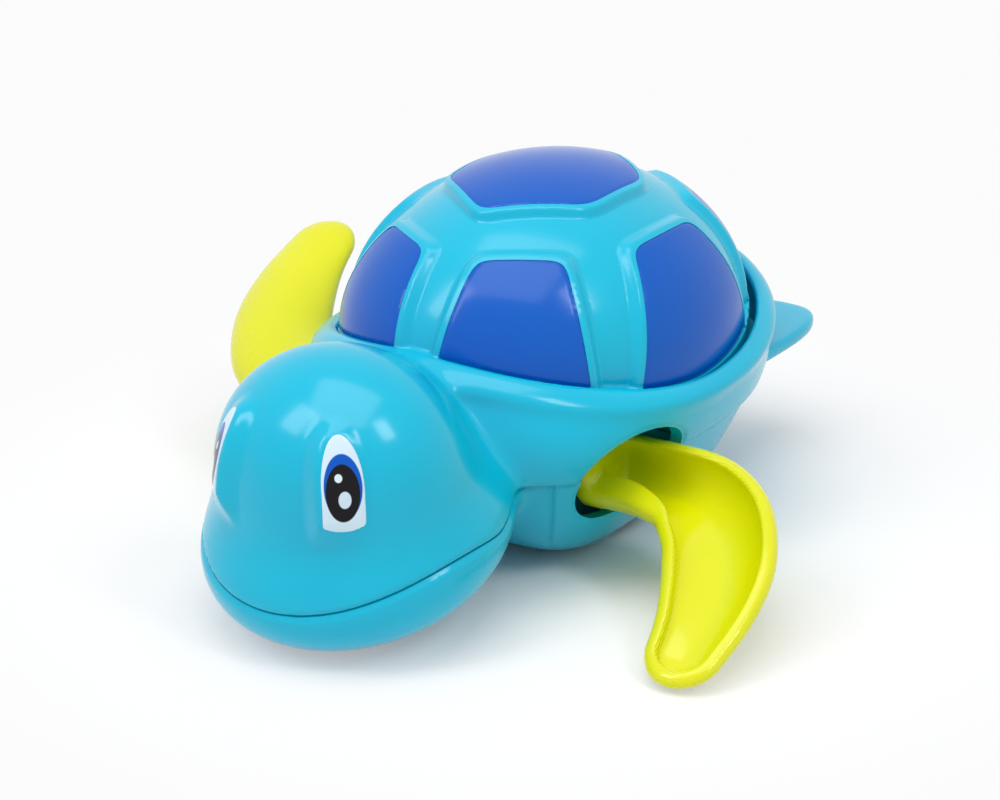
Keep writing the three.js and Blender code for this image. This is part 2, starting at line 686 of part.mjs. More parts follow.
// Ring at the carapace's foot, whose top follows the rim's dip just below its crest
function footRing(grow, widen = 0) {
  const level = (height) => ellipse(FOOT_X + widen, FOOT_Y + widen, DOME_AROUND)
    .map(([x, y]) => [x, y, height(x, y)]);
  const crest = (x, y) => rimHeight(x, y) - FOOT_BELOW_CREST + grow;
  const rings = [level(() => DOME_FOOT_Z - grow), level(crest)];
  return solidOf(ringSkin(rings, [0, 0, DOME_FOOT_Z - grow], [0, 0, 31]));
}

function scute(corners) {
  const outline = scuteOutline(corners);
  const back = SCUTE_RISE - SCUTE_THICKNESS;
  const rings = [
    scuteRing(outline, back, 0, 0.6),
    scuteRing(outline, back, 0),
    scuteRing(outline, SCUTE_RISE, 0),
    scuteRing(outline, SCUTE_RISE, 0, 0.6),
  ];
  const middle = middleOf(outline);
  return solidOf(ringSkin(rings, onDome(middle, back), onDome(middle, SCUTE_RISE)))
    .subtract(footRing(SCUTE_GAP, 2));
}

// Raised seat with a lip round it, which the scute is set into
function scuteSeat(corners) {
  const outline = scuteOutline(corners);
  const sunk = -0.8;
  const floor = SCUTE_RISE - SCUTE_THICKNESS - SCUTE_GAP;
  const slope = SCUTE_SLOPE * (SCUTE_RISE - sunk) / SCUTE_RISE;
  const rings = [
    scuteRing(outline, sunk, SCUTE_GAP + SCUTE_LIP + slope),
    scuteRing(outline, SCUTE_RISE, SCUTE_GAP + SCUTE_LIP),
    scuteRing(outline, SCUTE_RISE, SCUTE_GAP),
    scuteRing(outline, floor, SCUTE_GAP),
    scuteRing(outline, floor, SCUTE_GAP, 0.6),
  ];
  const middle = middleOf(outline);
  return solidOf(ringSkin(rings, onDome(middle, sunk), onDome(middle, floor)));
}

function carapace() {
  const seats = joined(Object.values(SCUTES).map(scuteSeat));
  const inside = domeSolid(-WALL, 20, 5, DOME_FOOT_Z - 1);
  const pegs = joined(pegSites().map(([x, y]) => upright(0.9, x, y, 23.4, DOME_FOOT_Z + 2, 6)));
  return domeSolid(0, DOME_AROUND, DOME_STEPS, DOME_FOOT_Z + 0.4)
    .add(seats)
    .add(footRing(0))
    .subtract(inside)
    .add(pegs);
}

// Scoop flipper, made about its own axle: X outward, Y along the blade, Z up out of the dish
const BLADE_SPINE = new THREE.CatmullRomCurve3([
  new THREE.Vector3(20.4, 0, 0),
  new THREE.Vector3(31, 0, 0),
  new THREE.Vector3(38.2, 1.4, 0),
  new THREE.Vector3(43.4, 5.4, 0),
  new THREE.Vector3(47.4, 12.0, 0),
  new THREE.Vector3(49.8, 20.0, 0),
  new THREE.Vector3(50.6, 28.0, 0),
  new THREE.Vector3(50.4, 34.6, 0),
]);
const HUB_RADIUS = 6.8;
const BLADE_WALL = 1.9;
const ARM_EXTRA = 1.9;            // the front edge is this much thicker at the root
const BLADE_STATIONS = 14;

function bladeHalfWidth(t) {
  const swell = HUB_RADIUS + 1.9 * smoothStep((t - 0.1) / 0.35) - 3.2 * smoothStep((t - 0.55) / 0.5);
  const tip = Math.sqrt(Math.max(1 - Math.max((t - 0.89) / 0.11, 0) ** 2, 0));
  return swell * tip;
}

function bladeDepth(t) {
  return HUB_RADIUS - 2.0 * smoothStep(t / 0.5) - 2.4 * smoothStep((t - 0.4) / 0.6);
}

// One slice of the dish: round under-side, rolled edges and the hollow
function bladeSection(t) {
  const centre = BLADE_SPINE.getPointAt(t);
  const tangent = BLADE_SPINE.getTangentAt(t);
  const across = new THREE.Vector3(tangent.y, -tangent.x, 0);
  const half = Math.max(bladeHalfWidth(t), 0.9);
  const depth = Math.min(bladeDepth(t), half);
  const section = [];
  const underSteps = 8;
  for (let i = 0; i <= underSteps; i++) {
    const angle = Math.PI + (Math.PI * i) / underSteps;
    section.push([half * Math.cos(angle), depth * Math.sin(angle)]);
  }
  const frontWall = BLADE_WALL + ARM_EXTRA * (1 - smoothStep((t - 0.12) / 0.28));
  const innerHalf = Math.max(half - (frontWall + BLADE_WALL) / 2, 0.3);
  const innerDepth = Math.max(depth - BLADE_WALL, 0.3);
  const innerShift = half > 2 * BLADE_WALL ? (frontWall - BLADE_WALL) / 2 : 0;
  section.push([half - BLADE_WALL * 0.4, 0.7]);
  const hollowSteps = 6;
  for (let i = 0; i <= hollowSteps; i++) {
    const angle = (-Math.PI * i) / hollowSteps;
    section.push([innerShift + innerHalf * Math.cos(angle), innerDepth * Math.sin(angle)]);
  }
  section.push([-half + frontWall * 0.7, 0.6], [-half + frontWall * 0.3, 0.5]);
  return section.map(([a, b]) => centre.clone().addScaledVector(across, a).add(new THREE.Vector3(0, 0, b)));
}

// Round end of the arm, as [radius, x]
const HUB_PROFILE = [
  [0, 18.6], [4.2, 18.6], [5.7, 19.2], [6.5, 20.2], [HUB_RADIUS, 21.4], [HUB_RADIUS, 22.4], [0, 22.4]];

function flipper() {
  const rings = [];
  for (let i = 0; i < BLADE_STATIONS; i++) {
    const t = (i / (BLADE_STATIONS - 1)) * 0.985;
    rings.push(bladeSection(t).map((p) => p.toArray()).reverse());
  }
  const first = [20.4, 0, -HUB_RADIUS + 1];
  const lastRing = rings[rings.length - 1];
  const last = lastRing.reduce((sum, p) => sum.map((value, k) => value + p[k] / lastRing.length), [0, 0, 0]);
  const blade = solidOf(ringSkin(rings, first, last));
  const hub = solidOf(turned(HUB_PROFILE, 24));
  const neck = solidOf(rod(3.4, WELL_TO_X + 0.4, 19.2, 16));
  const socket = solidOf(rod(AXLE_RADIUS + FIT, 17, AXLE_HALF_LENGTH + FIT, 12));
  return blade.add(hub).add(neck).subtract(socket);
}

// Spur gear on the X axis with straight-flanked teeth and working backlash
function gear(teeth, from, to, bore, turn = 0) {
  const pitch = (TOOTH_MODULE * teeth) / 2;
  const tip = pitch + 0.85 * TOOTH_MODULE;
  const root = pitch - 1.1 * TOOTH_MODULE;
  const step = (2 * Math.PI) / teeth;
  const outline = [];
  for (let i = 0; i < teeth; i++) {
    for (const [radius, share] of [[root, -0.3], [tip, -0.1], [tip, 0.1], [root, 0.3]]) {
      const angle = (i + share) * step + turn;
      outline.push([radius * Math.cos(angle), radius * Math.sin(angle)]);
    }
  }
  const body = solidOf(prismAlongX(outline, from, to));
  return body.subtract(solidOf(rod(bore, from - 1, to + 1, 10)));
}

function mainspring() {
  const turns = 5;
  const steps = 14 * turns;
  const inner = 3.0;
  const outer = 9.4;
  const half = 0.2;
  const coil = (offset) => Array.from({ length: steps + 1 }, (_, i) => {
    const angle = (i / 14) * 2 * Math.PI;
    const radius = inner + ((outer - inner) * i) / steps + offset;
    return [radius * Math.cos(angle), radius * Math.sin(angle)];
  });
  const outline = [...coil(half), ...coil(-half).reverse()];
  return solidOf(prismAlongX(outline, 1.0, 5.6));
}

function hullScrew(name) {
  const [x, y] = SCREW_SITES[name];
  const tip = name === 'jaw' ? 25 : 23.6;
  const profile = [[0, SCREW_HEAD_Z - 1.8], [2.2, SCREW_HEAD_Z - 1.8], [2.2, SCREW_HEAD_Z - FIT],
    [1.15, SCREW_HEAD_Z - FIT], [1.15, tip - 1.2], [0, tip]];
  return solidOf(turned(profile, 10).rotateY(-Math.PI / 2).translate(x, y, 0));
}

function motorScrew(index) {
  const [y, z] = EARS[index];
  const face = CASE_HALF_WIDTH - 3 + FIT;
  const profile = [[0, -face], [1.0, -face], [1.0, face], [2.0, face], [2.0, face + 1.4], [0, face + 1.4]];
  return solidOf(turned(profile, 10).translate(0, y, z));
}

function bush(side) {
  const inside = CASE_HALF_WIDTH - CASE_WALL;
  const profile = [[AXLE_RADIUS + FIT, inside - 0.4], [BUSH_RADIUS, inside - 0.4],
    [BUSH_RADIUS, CASE_HALF_WIDTH + FIT], [BUSH_RADIUS + 1.2, CASE_HALF_WIDTH + FIT],
    [BUSH_RADIUS + 1.2, CASE_HALF_WIDTH + 1.4], [AXLE_RADIUS + FIT, CASE_HALF_WIDTH + 1.4],
    [AXLE_RADIUS + FIT, inside - 0.4]];
  const solid = solidOf(turned(profile, 12).translate(0, AXLE_Y, AXLE_Z));
  return side > 0 ? solid : solid.mirror([1, 0, 0]);
}

// Assembly

const turtle = new THREE.Group();

function place(parent, name, solid, finish) {
  const mesh = new THREE.Mesh(geometryOf(solid), new THREE.MeshStandardMaterial(finish));
  mesh.name = name;
  parent.add(mesh);
  return mesh;
}

place(turtle, 'upper_body', upperBody(), TEAL);
place(turtle, 'lower_hull', lowerHull(), TEAL);
place(turtle, 'carapace', carapace(), TEAL);
for (const [name, corners] of Object.entries(SCUTES)) {
  place(turtle, name, scute(corners), BLUE);
}
place(turtle, 'left_eye', eyeInsert(1), EYE_WHITE);
place(turtle, 'right_eye', eyeInsert(-1), EYE_WHITE);

// The flippers share the axle half a turn apart
const drive = new THREE.Group();
drive.position.set(0, AXLE_Y, AXLE_Z);
turtle.add(drive);
place(drive, 'output_axle', solidOf(rod(AXLE_RADIUS, -AXLE_HALF_LENGTH, AXLE_HALF_LENGTH, 12)), STEEL);
const trainLine = Math.atan2(TRAIN_Z - AXLE_Z, IDLER_Y - AXLE_Y);
const axlePinion = gear(AXLE_TEETH, -3.2, -3.2 + GEAR_WIDTH, AXLE_RADIUS + FIT, trainLine);
place(drive, 'axle_pinion', axlePinion, GEAR_WHITE);
const scoop = flipper();
const leftFlipper = place(drive, 'left_flipper', scoop.mirror([0, 1, 0]), LIME);
leftFlipper.rotation.x = radians(FLIPPER_DROP);
const rightFlipper = place(drive, 'right_flipper', scoop.mirror([0, 1, 0]).mirror([1, 0, 0]), LIME);
rightFlipper.rotation.x = radians(FLIPPER_DROP + 180);

const idler = new THREE.Group();
idler.position.set(0, IDLER_Y, TRAIN_Z);
turtle.add(idler);
const idlerTurn = trainLine - Math.PI / IDLER_TEETH;
const idlerSolid = gear(IDLER_TEETH, -3.2, -3.2 + GEAR_WIDTH, IDLER_SHAFT_RADIUS + FIT, idlerTurn)
  .add(gear(IDLER_PINION_TEETH, -6.4, -3.1, IDLER_SHAFT_RADIUS + FIT));
place(idler, 'idler_gear', idlerSolid, GEAR_WHITE);
place(turtle, 'idler_shaft', alongX(IDLER_SHAFT_RADIUS, IDLER_Y, TRAIN_Z, -8.6, 8.6, 10), STEEL);

const winding = new THREE.Group();
winding.position.set(0, SPRING_Y, TRAIN_Z);
turtle.add(winding);
const springTurn = Math.PI / SPRING_TEETH;
const springGear = gear(SPRING_TEETH, -6.3, -6.3 + GEAR_WIDTH, ARBOR_RADIUS + FIT, springTurn);
place(winding, 'spring_gear', springGear, GEAR_WHITE);
place(winding, 'spring_arbor', solidOf(rod(ARBOR_RADIUS, -9, 9, 12)), BRASS);
place(winding, 'mainspring', mainspring(), SPRING_STEEL);

place(turtle, 'motor_case_left', caseHalf(1), MOTOR_WHITE);
place(turtle, 'motor_case_right', caseHalf(-1), MOTOR_WHITE);
place(turtle, 'left_axle_bush', bush(1), BRASS);
place(turtle, 'right_axle_bush', bush(-1), BRASS);
place(turtle, 'motor_screw_front', motorScrew(0), STEEL);
place(turtle, 'motor_screw_rear', motorScrew(1), STEEL);
for (const name of Object.keys(SCREW_SITES)) {
  place(turtle, `${name}_screw`, hullScrew(name), STEEL);
}

export default turtle;
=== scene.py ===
# %% [markdown]
# # A wind-up bath turtle
# The toy is a set of glossy injection mouldings: a lower hull, an upper body that
# carries the head, a domed carapace with seven scutes let into it, two scoop flippers
# on one clockwork axle and two printed eye plates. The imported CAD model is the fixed
# frame. Its facets are coarse, so the shells that catch the light are made again here
# at a finer grain, from the same measures, and each rides on the CAD body it belongs to.

# %% The frame
import json
import math

import bpy
import numpy as np
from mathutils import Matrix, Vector


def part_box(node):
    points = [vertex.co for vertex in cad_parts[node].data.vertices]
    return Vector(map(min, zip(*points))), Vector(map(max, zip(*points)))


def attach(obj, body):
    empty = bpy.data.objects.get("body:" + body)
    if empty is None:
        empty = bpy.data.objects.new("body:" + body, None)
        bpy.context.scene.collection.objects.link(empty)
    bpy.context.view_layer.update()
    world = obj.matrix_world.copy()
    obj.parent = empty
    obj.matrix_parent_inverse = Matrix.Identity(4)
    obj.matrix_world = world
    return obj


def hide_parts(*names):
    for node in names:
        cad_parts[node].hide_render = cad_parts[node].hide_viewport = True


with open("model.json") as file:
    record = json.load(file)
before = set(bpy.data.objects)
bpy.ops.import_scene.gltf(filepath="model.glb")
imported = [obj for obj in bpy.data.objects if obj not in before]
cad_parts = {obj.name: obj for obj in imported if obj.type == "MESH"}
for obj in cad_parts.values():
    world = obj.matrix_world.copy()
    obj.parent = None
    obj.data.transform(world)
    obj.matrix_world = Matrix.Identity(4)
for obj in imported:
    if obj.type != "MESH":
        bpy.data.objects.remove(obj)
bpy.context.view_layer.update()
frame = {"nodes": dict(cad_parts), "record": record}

# %% [markdown]
# ## Moulded shells as distance fields
# Everything below is in millimetres, as on a maker's drawing, and is turned into metres
# only when a mesh is written. A shell with soft blends can be sculpted, lofted or
# described by a field: a formula that is zero on the skin and counts the millimetres
# away from it. A field is used here, because the hull, the head and the fillet at the
# neck are then one smooth surface, a wall is the field moved in by its thickness, and a
# cut with a small radius is a smooth maximum of two fields.

# %% Measures that every shell shares
WALL = 2.0
SEAM_Z = 18.8
RIM_CENTRE_Y, RIM_X, RIM_Y = 1.4, 33.5, 39.7
RIM_SIDE_Z, RIM_FRONT_Z, RIM_REAR_Z = 29.3, 36.8, 36.0
print("rim", 2 * RIM_X, "by", 2 * RIM_Y, "mm, wall", WALL, "mm, parting line", SEAM_Z, "mm up")

# %% Blends
def smooth_min(a, b, blend):
    h = np.maximum(blend - np.abs(a - b), 0) / blend
    return np.minimum(a, b) - h * h * h * blend / 6


def smooth_max(a, b, blend):
    return -smooth_min(-a, -b, blend)


def smooth_step(t):
    s = np.clip(t, 0, 1)
    return s * s * (3 - 2 * s)


def ellipse_field(x, y, half_width, half_length):
    reach = np.hypot(x / half_width, y / half_length)
    slope = np.hypot(x / half_width ** 2, y / half_length ** 2)
    return reach * (reach - 1) / np.maximum(slope, 1e-6)


def ellipsoid_field(x, y, z, centre, radii, tilt):
    cos, sin = math.cos(math.radians(tilt)), math.sin(math.radians(tilt))
    dx, dy, dz = x - centre[0], y - centre[1], z - centre[2]
    u, v, w = dx, cos * dy + sin * dz, cos * dz - sin * dy
    rx, ry, rz = radii
    scaled = np.sqrt((u / rx) ** 2 + (v / ry) ** 2 + (w / rz) ** 2)
    slope = np.sqrt((u / rx ** 2) ** 2 + (v / ry ** 2) ** 2 + (w / rz ** 2) ** 2)
    return scaled * (scaled - 1) / np.maximum(slope, 1e-6)


filled = -smooth_min(np.float64(0), np.float64(0), 3)
print("a blend of 3 mm fills a corner by", round(float(filled), 2), "mm")

# %% [markdown]
# ## Hull
# The hull is a tapered tub. Its plan is an ellipse at the rim and squarer toward the
# belly, most of all at the bow, so the exponent of the plan changes with height. The
# rim is lowest at the sides, rises to nose and tail, and has a rounded bead under it.

# %% Height of the rim
FRONT_FALL, REAR_START, REAR_CLIMB = 0.95, 0.9, 1.1


def rim_height(x, y):
    """Turn is 0 at the nose, 1 at the side and 2 at the tail."""
    turn = np.arctan2(np.abs(x) / RIM_X, (RIM_CENTRE_Y - y) / RIM_Y) / (math.pi / 2)
    front, rear = RIM_FRONT_Z - RIM_SIDE_Z, RIM_REAR_Z - RIM_SIDE_Z
    fall = 1 - smooth_step(turn / FRONT_FALL)
    return RIM_SIDE_Z + (front * fall + rear * smooth_step((turn - REAR_START) / REAR_CLIMB))


RIM_PLACES = ((0, -RIM_Y), (RIM_X, RIM_CENTRE_Y), (0, RIM_Y + RIM_CENTRE_Y))
print("rim at nose, side and tail", [round(float(rim_height(x, y)), 1) for x, y in RIM_PLACES])

# %% The tub
HULL_TAPER_X, HULL_TAPER_FRONT, HULL_TAPER_REAR, HULL_TAPER_POWER = 13.5, 8.0, 11.0, 1.36
FORWARD_BLEND = 30
RIM_BEAD, BEAD_DROP, BEAD_HALF, RIM_ROUND = 0.7, 2.2, 1.6, 5
SQUARE_ALL, SQUARE_BOW, SQUARE_FROM = 0.5, 1.2, 0.4
BILGE = 12.0
BOW_RISE, BOW_START_Y, BOW_LENGTH = 9.0, -10.0, 22.0


def hull_field(x, y, z, tuck):
    along = y - RIM_CENTRE_Y
    rim_z = rim_height(x, y)
    below = np.maximum(1 - z / rim_z, 0)
    draw_in = below ** HULL_TAPER_POWER
    forward = smooth_step(0.5 - along / FORWARD_BLEND)
    end_taper = HULL_TAPER_REAR + (HULL_TAPER_FRONT - HULL_TAPER_REAR) * forward
    bead = RIM_BEAD * np.exp(-((z - rim_z + BEAD_DROP) / BEAD_HALF) ** 2)
    half_width = RIM_X - HULL_TAPER_X * draw_in + bead - tuck
    half_length = RIM_Y - end_taper * draw_in + bead - tuck
    power = 2 + (SQUARE_ALL + SQUARE_BOW * forward) * smooth_step(below / SQUARE_FROM)
    across = np.maximum(np.abs(x / half_width), 1e-6) ** power
    lengthways = np.maximum(np.abs(along / half_length), 1e-6) ** power
    reach = (across + lengthways) ** (1 / power)
    radius = np.hypot(x, along)
    side = np.where(reach < 1e-4, -half_width, radius - radius / np.maximum(reach, 1e-4))
    floor = BOW_RISE * (np.maximum(BOW_START_Y - y, 0) / BOW_LENGTH) ** 2
    return smooth_max(smooth_max(side, z - rim_z, RIM_ROUND), floor - z, BILGE)


HULL_MIDDLE = [np.float64(value) for value in (0, RIM_CENTRE_Y, RIM_SIDE_Z / 2)]
print("the hull's middle is", round(float(-hull_field(*HULL_MIDDLE, 0)), 1), "mm inside its skin")

# %% [markdown]
# ## Head
# Two ellipsoids run together with a wide blend make the head: a broad, low muzzle that
# tips down at the nose, and a rounder cranium on it. Each eye sits on a low mound, which
# stands higher toward the nose, so that the eyes look sideways.

# %% Mounds under the eyes
EYE = dict(x=12.0, y=-67.85, z=29.15, half_width=3.05, height=13.2, yaw=50)
ARCH_DROP = 0.5
MOUND_RISE, MOUND_SLANT, MOUND_HALF, MOUND_FROM, MOUND_SPREAD = 0.9, 0.26, 4, 0.2, 2.0
MOUND_FOOT, MOUND_FOOT_FADE, MOUND_BACK, MOUND_BACK_FADE = 4, 6, 8, 4


def eye_frame(x, y, z, side):
    """Across and up the eye plate, and forward out of it."""
    yaw = math.radians(EYE["yaw"])
    dx, dy = side * x - EYE["x"], y - EYE["y"]
    across = dx * math.cos(yaw) + dy * math.sin(yaw)
    return across, z - EYE["z"], dx * math.sin(yaw) - dy * math.cos(yaw)


def eye_arch(across, up):
    """An arch on straight legs, which begin a little below the middle."""
    height = EYE["height"] / 2 + ARCH_DROP
    return ellipse_field(across, np.maximum(up + ARCH_DROP, 0), EYE["half_width"], height)


def eye_mound(x, y, z):
    """How far the head stands out round an eye."""
    across, up, forward = eye_frame(np.abs(x), y, z, 1)
    spread = 1 - smooth_step((eye_arch(across, up) - MOUND_FROM) / MOUND_SPREAD)
    foot = smooth_step((up + EYE["height"] / 2 + MOUND_FOOT) / MOUND_FOOT_FADE)
    front = smooth_step((forward + MOUND_BACK) / MOUND_BACK_FADE)
    rise = MOUND_RISE - MOUND_SLANT * np.clip(across, -MOUND_HALF, MOUND_HALF)
    return rise * spread * foot * front


EYE_MIDDLE = [np.float64(EYE[key]) for key in "xyz"]
print("the mound stands out", round(float(eye_mound(*EYE_MIDDLE)), 2), "mm at the middle of the eye")

# %% Head and hull as one skin
MUZZLE = dict(centre=(0, -49.1, 13.85), radii=(23.0, 24.1, 12.5), tilt=17.4)
CRANIUM = dict(centre=(0, -53.1, 26.35), radii=(18.7, 16.8, 16.4), tilt=0)
MUZZLE_BLEND, NECK_BLEND, NOSE_TRIM = 14.0, 8.0, 0.3


def body_field(x, y, z, tuck):
    muzzle, cranium = ellipsoid_field(x, y, z, **MUZZLE), ellipsoid_field(x, y, z, **CRANIUM)
    head = smooth_min(muzzle, cranium, MUZZLE_BLEND) + NOSE_TRIM - eye_mound(x, y, z)
    return smooth_min(head, hull_field(x, y, z, tuck), NECK_BLEND)


print("the skin is", round(float(body_field(*EYE_MIDDLE, 0)), 2), "mm behind the eye's middle")

# %% [markdown]
# ## Parting line, ports and wells
# The line where the two mouldings meet is also the mouth: it climbs from the nose to the
# cheeks and runs level round the hull. It crosses the ports that the flippers come out
# of, an arch in the upper moulding over a squarer bowl in the lower one. Walls behind
# the ports keep water away from the clockwork.

# %% Parting line
MOUTH_Z, CHEEK_Z, CHEEK_SHARE = 8.6, 16.5, 0.62
MOUTH_FRONT_Y, MOUTH_BACK_Y = -73.0, -34.0
LEVEL_FROM, LEVEL_SPAN = 0.7, 0.3


def seam_height(y):
    t = np.clip((y - MOUTH_FRONT_Y) / (MOUTH_BACK_Y - MOUTH_FRONT_Y), 0, 1)
    climb = np.sin(np.minimum(t / CHEEK_SHARE, 1) * math.pi / 2)
    level = smooth_step((t - LEVEL_FROM) / LEVEL_SPAN)
    return MOUTH_Z + (CHEEK_Z - MOUTH_Z) * climb + (SEAM_Z - CHEEK_Z) * level


LINE_ENDS = [round(float(seam_height(y)), 1) for y in (MOUTH_FRONT_Y, MOUTH_BACK_Y)]
print("the parting line climbs from", LINE_ENDS[0], "to", LINE_ENDS[1], "mm")

# %% Ports
PORT_Y, PORT_BOWL_HALF, PORT_BOWL, BOWL_POWER = -17.0, 9.8, 9.2, 2.35
ARCH_Y, ARCH_HALF, ARCH_RISE = -18.2, 10.2, 6.1
PORT_FROM_X = 17


def port_field(x, y, z):
    along, up = y - PORT_Y, z - SEAM_Z
    reach = (np.abs(along) / PORT_BOWL_HALF) ** BOWL_POWER + np.abs(up / PORT_BOWL) ** BOWL_POWER
    reach = reach ** (1 / BOWL_POWER)
    arch = ellipse_field(y - ARCH_Y, up, ARCH_HALF, ARCH_RISE)
    hole = np.where(up > 0, arch, (reach - 1) * PORT_BOWL)
    return np.maximum(hole, PORT_FROM_X - np.abs(x))


print("ports", 2 * ARCH_HALF, "mm long and", round(ARCH_RISE + PORT_BOWL, 1), "mm high")

# %% [markdown]
# A moulded edge is never razor sharp. The skin therefore dips a little beside the
# parting line and round the ports, and twice down each side of the hull, where the
# mould's slides meet. These dips catch the light as fine lines.

# %% Eased lips and slide lines
LIP_DEPTH, LIP_REACH = 0.4, 0.5
SLIDE_LINES = ((0.813, 0.583, 0.41), (0.505, -0.863, 1.2))
SLIDE_DEPTH, SLIDE_REACH, SLIDE_FROM_X = 0.4, 0.4, 8
SLIDE_FADE_Z, SLIDE_FADE = 3.5, 4


def soft_lips(x, y, z):
    """How far the skin dips beside the parting line and round the ports."""
    seam = np.exp(-((z - seam_height(y)) / LIP_REACH) ** 2)
    port = np.exp(-(np.maximum(port_field(x, y, z), 0) / LIP_REACH) ** 2)
    return LIP_DEPTH * np.maximum(seam, port)


def slide_lines(x, y, z):
    """Faint upright lines that the mould's slides leave on the lower hull."""
    dip = 0
    for across, along, offset in SLIDE_LINES:
        dip = dip + np.exp(-((across * np.abs(x) + along * y + offset) / SLIDE_REACH) ** 2)
    fade = smooth_step((z - SLIDE_FADE_Z) / SLIDE_FADE)
    return SLIDE_DEPTH * dip * fade * (np.abs(x) > SLIDE_FROM_X)


print("lips dip", LIP_DEPTH, "mm and slide lines", SLIDE_DEPTH, "mm")

# %% Wells
AXLE_Y, AXLE_Z = -16.0, 17.1
WELL_FROM_X, WELL_TO_X, WELL_LENGTH, WELL_HEIGHT, WELL_HOLE = 15.3, 16.8, 29.0, 19.0, 2.2
WELL_Z, WELL_INSET = 15.3, 0.7


def well_field(x, y, z, outer):
    """Walls behind and beside the ports that keep the water away from the clockwork."""
    middle, half = (WELL_FROM_X + WELL_TO_X) / 2, (WELL_TO_X - WELL_FROM_X) / 2
    along = np.abs(y - PORT_Y)
    back = np.abs(np.abs(x) - middle) - half
    ends = np.maximum(np.abs(along - WELL_LENGTH / 2 + half) - half, WELL_FROM_X - np.abs(x))
    wall = np.maximum(np.minimum(back, ends), outer + WELL_INSET)
    wall = np.maximum(wall, np.maximum(along - WELL_LENGTH / 2, np.abs(z - WELL_Z) - WELL_HEIGHT / 2))
    return np.maximum(wall, WELL_HOLE - np.hypot(y - AXLE_Y, z - AXLE_Z))


print("wells", WELL_LENGTH, "by", WELL_HEIGHT, "mm, axle", AXLE_Z, "mm up")

# %% [markdown]
# ## From a field to a mesh
# Blender could draw the field with a volume and a remesh, but that leaves steps on a
# glossy surface. The field is sampled here on a grid instead: every grid cell that the
# skin passes through gets one point, the points of neighbouring cells are joined into
# quads, and each point is then slid onto the exact skin. A field may be given as several
# faces, such as skin, parting line and port. Where two of them meet in a cell, the point
# is slid to both at once, which draws the edge as a clean line.

# %% Values and slopes of a solid's faces
def face_values(faces, points):
    """One row for each face of the solid; their maximum is the solid's own field."""
    return np.stack(faces(*points.T))


def face_slopes(faces, points, reach=0.04):
    slopes = []
    for axis in range(3):
        ahead, behind = points.copy(), points.copy()
        ahead[:, axis] += reach
        behind[:, axis] -= reach
        slopes.append(face_values(faces, ahead) - face_values(faces, behind))
    return np.stack(slopes, 2) / (2 * reach)


def ball_faces(x, y, z, radius=5):
    """A ball, on which the steps below are tried out."""
    return (np.sqrt(x * x + y * y + z * z) - radius,)


slope = face_slopes(ball_faces, np.array([[3.0, 0, 4.0]]))[0, 0]
print("the ball's slope at (3, 0, 4) is", slope.round(2))

# %% [markdown]
# A point is slid along the slope of its face until the field is zero there. A point on
# an edge has two faces, so both have to reach zero in the same move, which is a small
# least-squares problem. Between slides the points on a face are evened out among their
# neighbours, because even quads shade better, and the points on an edge stay.

# %% Sliding and evening out
STEADYING, LONGEST_MOVE = 0.02, 0.6


def settle(faces, points, owners, step, passes=3):
    """Slide each point onto every face that its owner number names, one bit for a face."""
    for _ in range(passes):
        values, slopes = face_values(faces, points), face_slopes(faces, points)
        for owner in np.unique(owners):
            mine = owners == owner
            named = [k for k in range(len(values)) if owner >> k & 1]
            slope = slopes[named][:, mine].transpose(1, 0, 2)
            value = values[named][:, mine].T[..., None]
            square = slope @ slope.transpose(0, 2, 1) + STEADYING * np.eye(len(named))
            move = (slope.transpose(0, 2, 1) @ np.linalg.solve(square, value))[..., 0]
            length = np.linalg.norm(move, axis=1, keepdims=True)
            points[mine] -= move * np.minimum(1, LONGEST_MOVE * step / np.maximum(length, 1e-9))
    return points


def relax(points, quads, fixed):
    """Move each point halfway to the mean of its neighbours."""
    total = np.zeros_like(points)
    count = np.zeros(len(points))
    for a, b in ((0, 1), (1, 2), (2, 3), (3, 0)):
        for one, other in ((a, b), (b, a)):
            for axis in range(3):
                near = points[quads[:, other], axis]
                total[:, axis] += np.bincount(quads[:, one], near, len(points))
            count += np.bincount(quads[:, one], minlength=len(points))
    eased = 0.5 * points + 0.5 * total / np.maximum(count, 1)[:, None]
    return np.where(fixed[:, None], points, eased)


slid = settle(ball_faces, np.array([[3.3, 0, 4.4]]), np.array([1]), 0.6)
print("a point slid onto the ball lies at", slid[0].round(2))

# %% [markdown]
# The grid is crossed by the skin wherever the sign changes between two neighbours. Each
# such crossing gives a quad between the four cells round it, and tells which face was
# met, one bit for a face. The shading normals come from the field as well, corner by
# corner, so highlights run smoothly over the joins between quads and stop cleanly at an
# edge.

# %% Crossings of the grid
def find_crossings(faces, value, axes, axis, step):
    """Where the skin crosses the grid along one axis: cells round it, places, faces met."""
    inside = value < 0
    cells = np.array(value.shape) - 1
    here = [slice(None)] * 3
    there = [slice(None)] * 3
    here[axis], there[axis] = slice(0, -1), slice(1, None)
    crossed = np.argwhere(inside[tuple(here)] != inside[tuple(there)])
    v0 = value[tuple(crossed.T)]
    far = crossed.copy()
    far[:, axis] += 1
    v1 = value[tuple(far.T)]
    place = np.stack([axes[k][crossed[:, k]] for k in range(3)], 1)
    place[:, axis] += step * v0 / (v0 - v1)
    bit = 1 << np.argmax(face_values(faces, place), 0)
    u, v = (axis + 1) % 3, (axis + 2) % 3
    ring = []
    for du, dv in ((0, 0), (1, 0), (1, 1), (0, 1)):
        cell = crossed.copy()
        cell[:, u] -= 1 - du
        cell[:, v] -= 1 - dv
        ring.append(np.ravel_multi_index(cell.T, cells))
    return np.stack(ring, 1), v0 < 0, place, bit


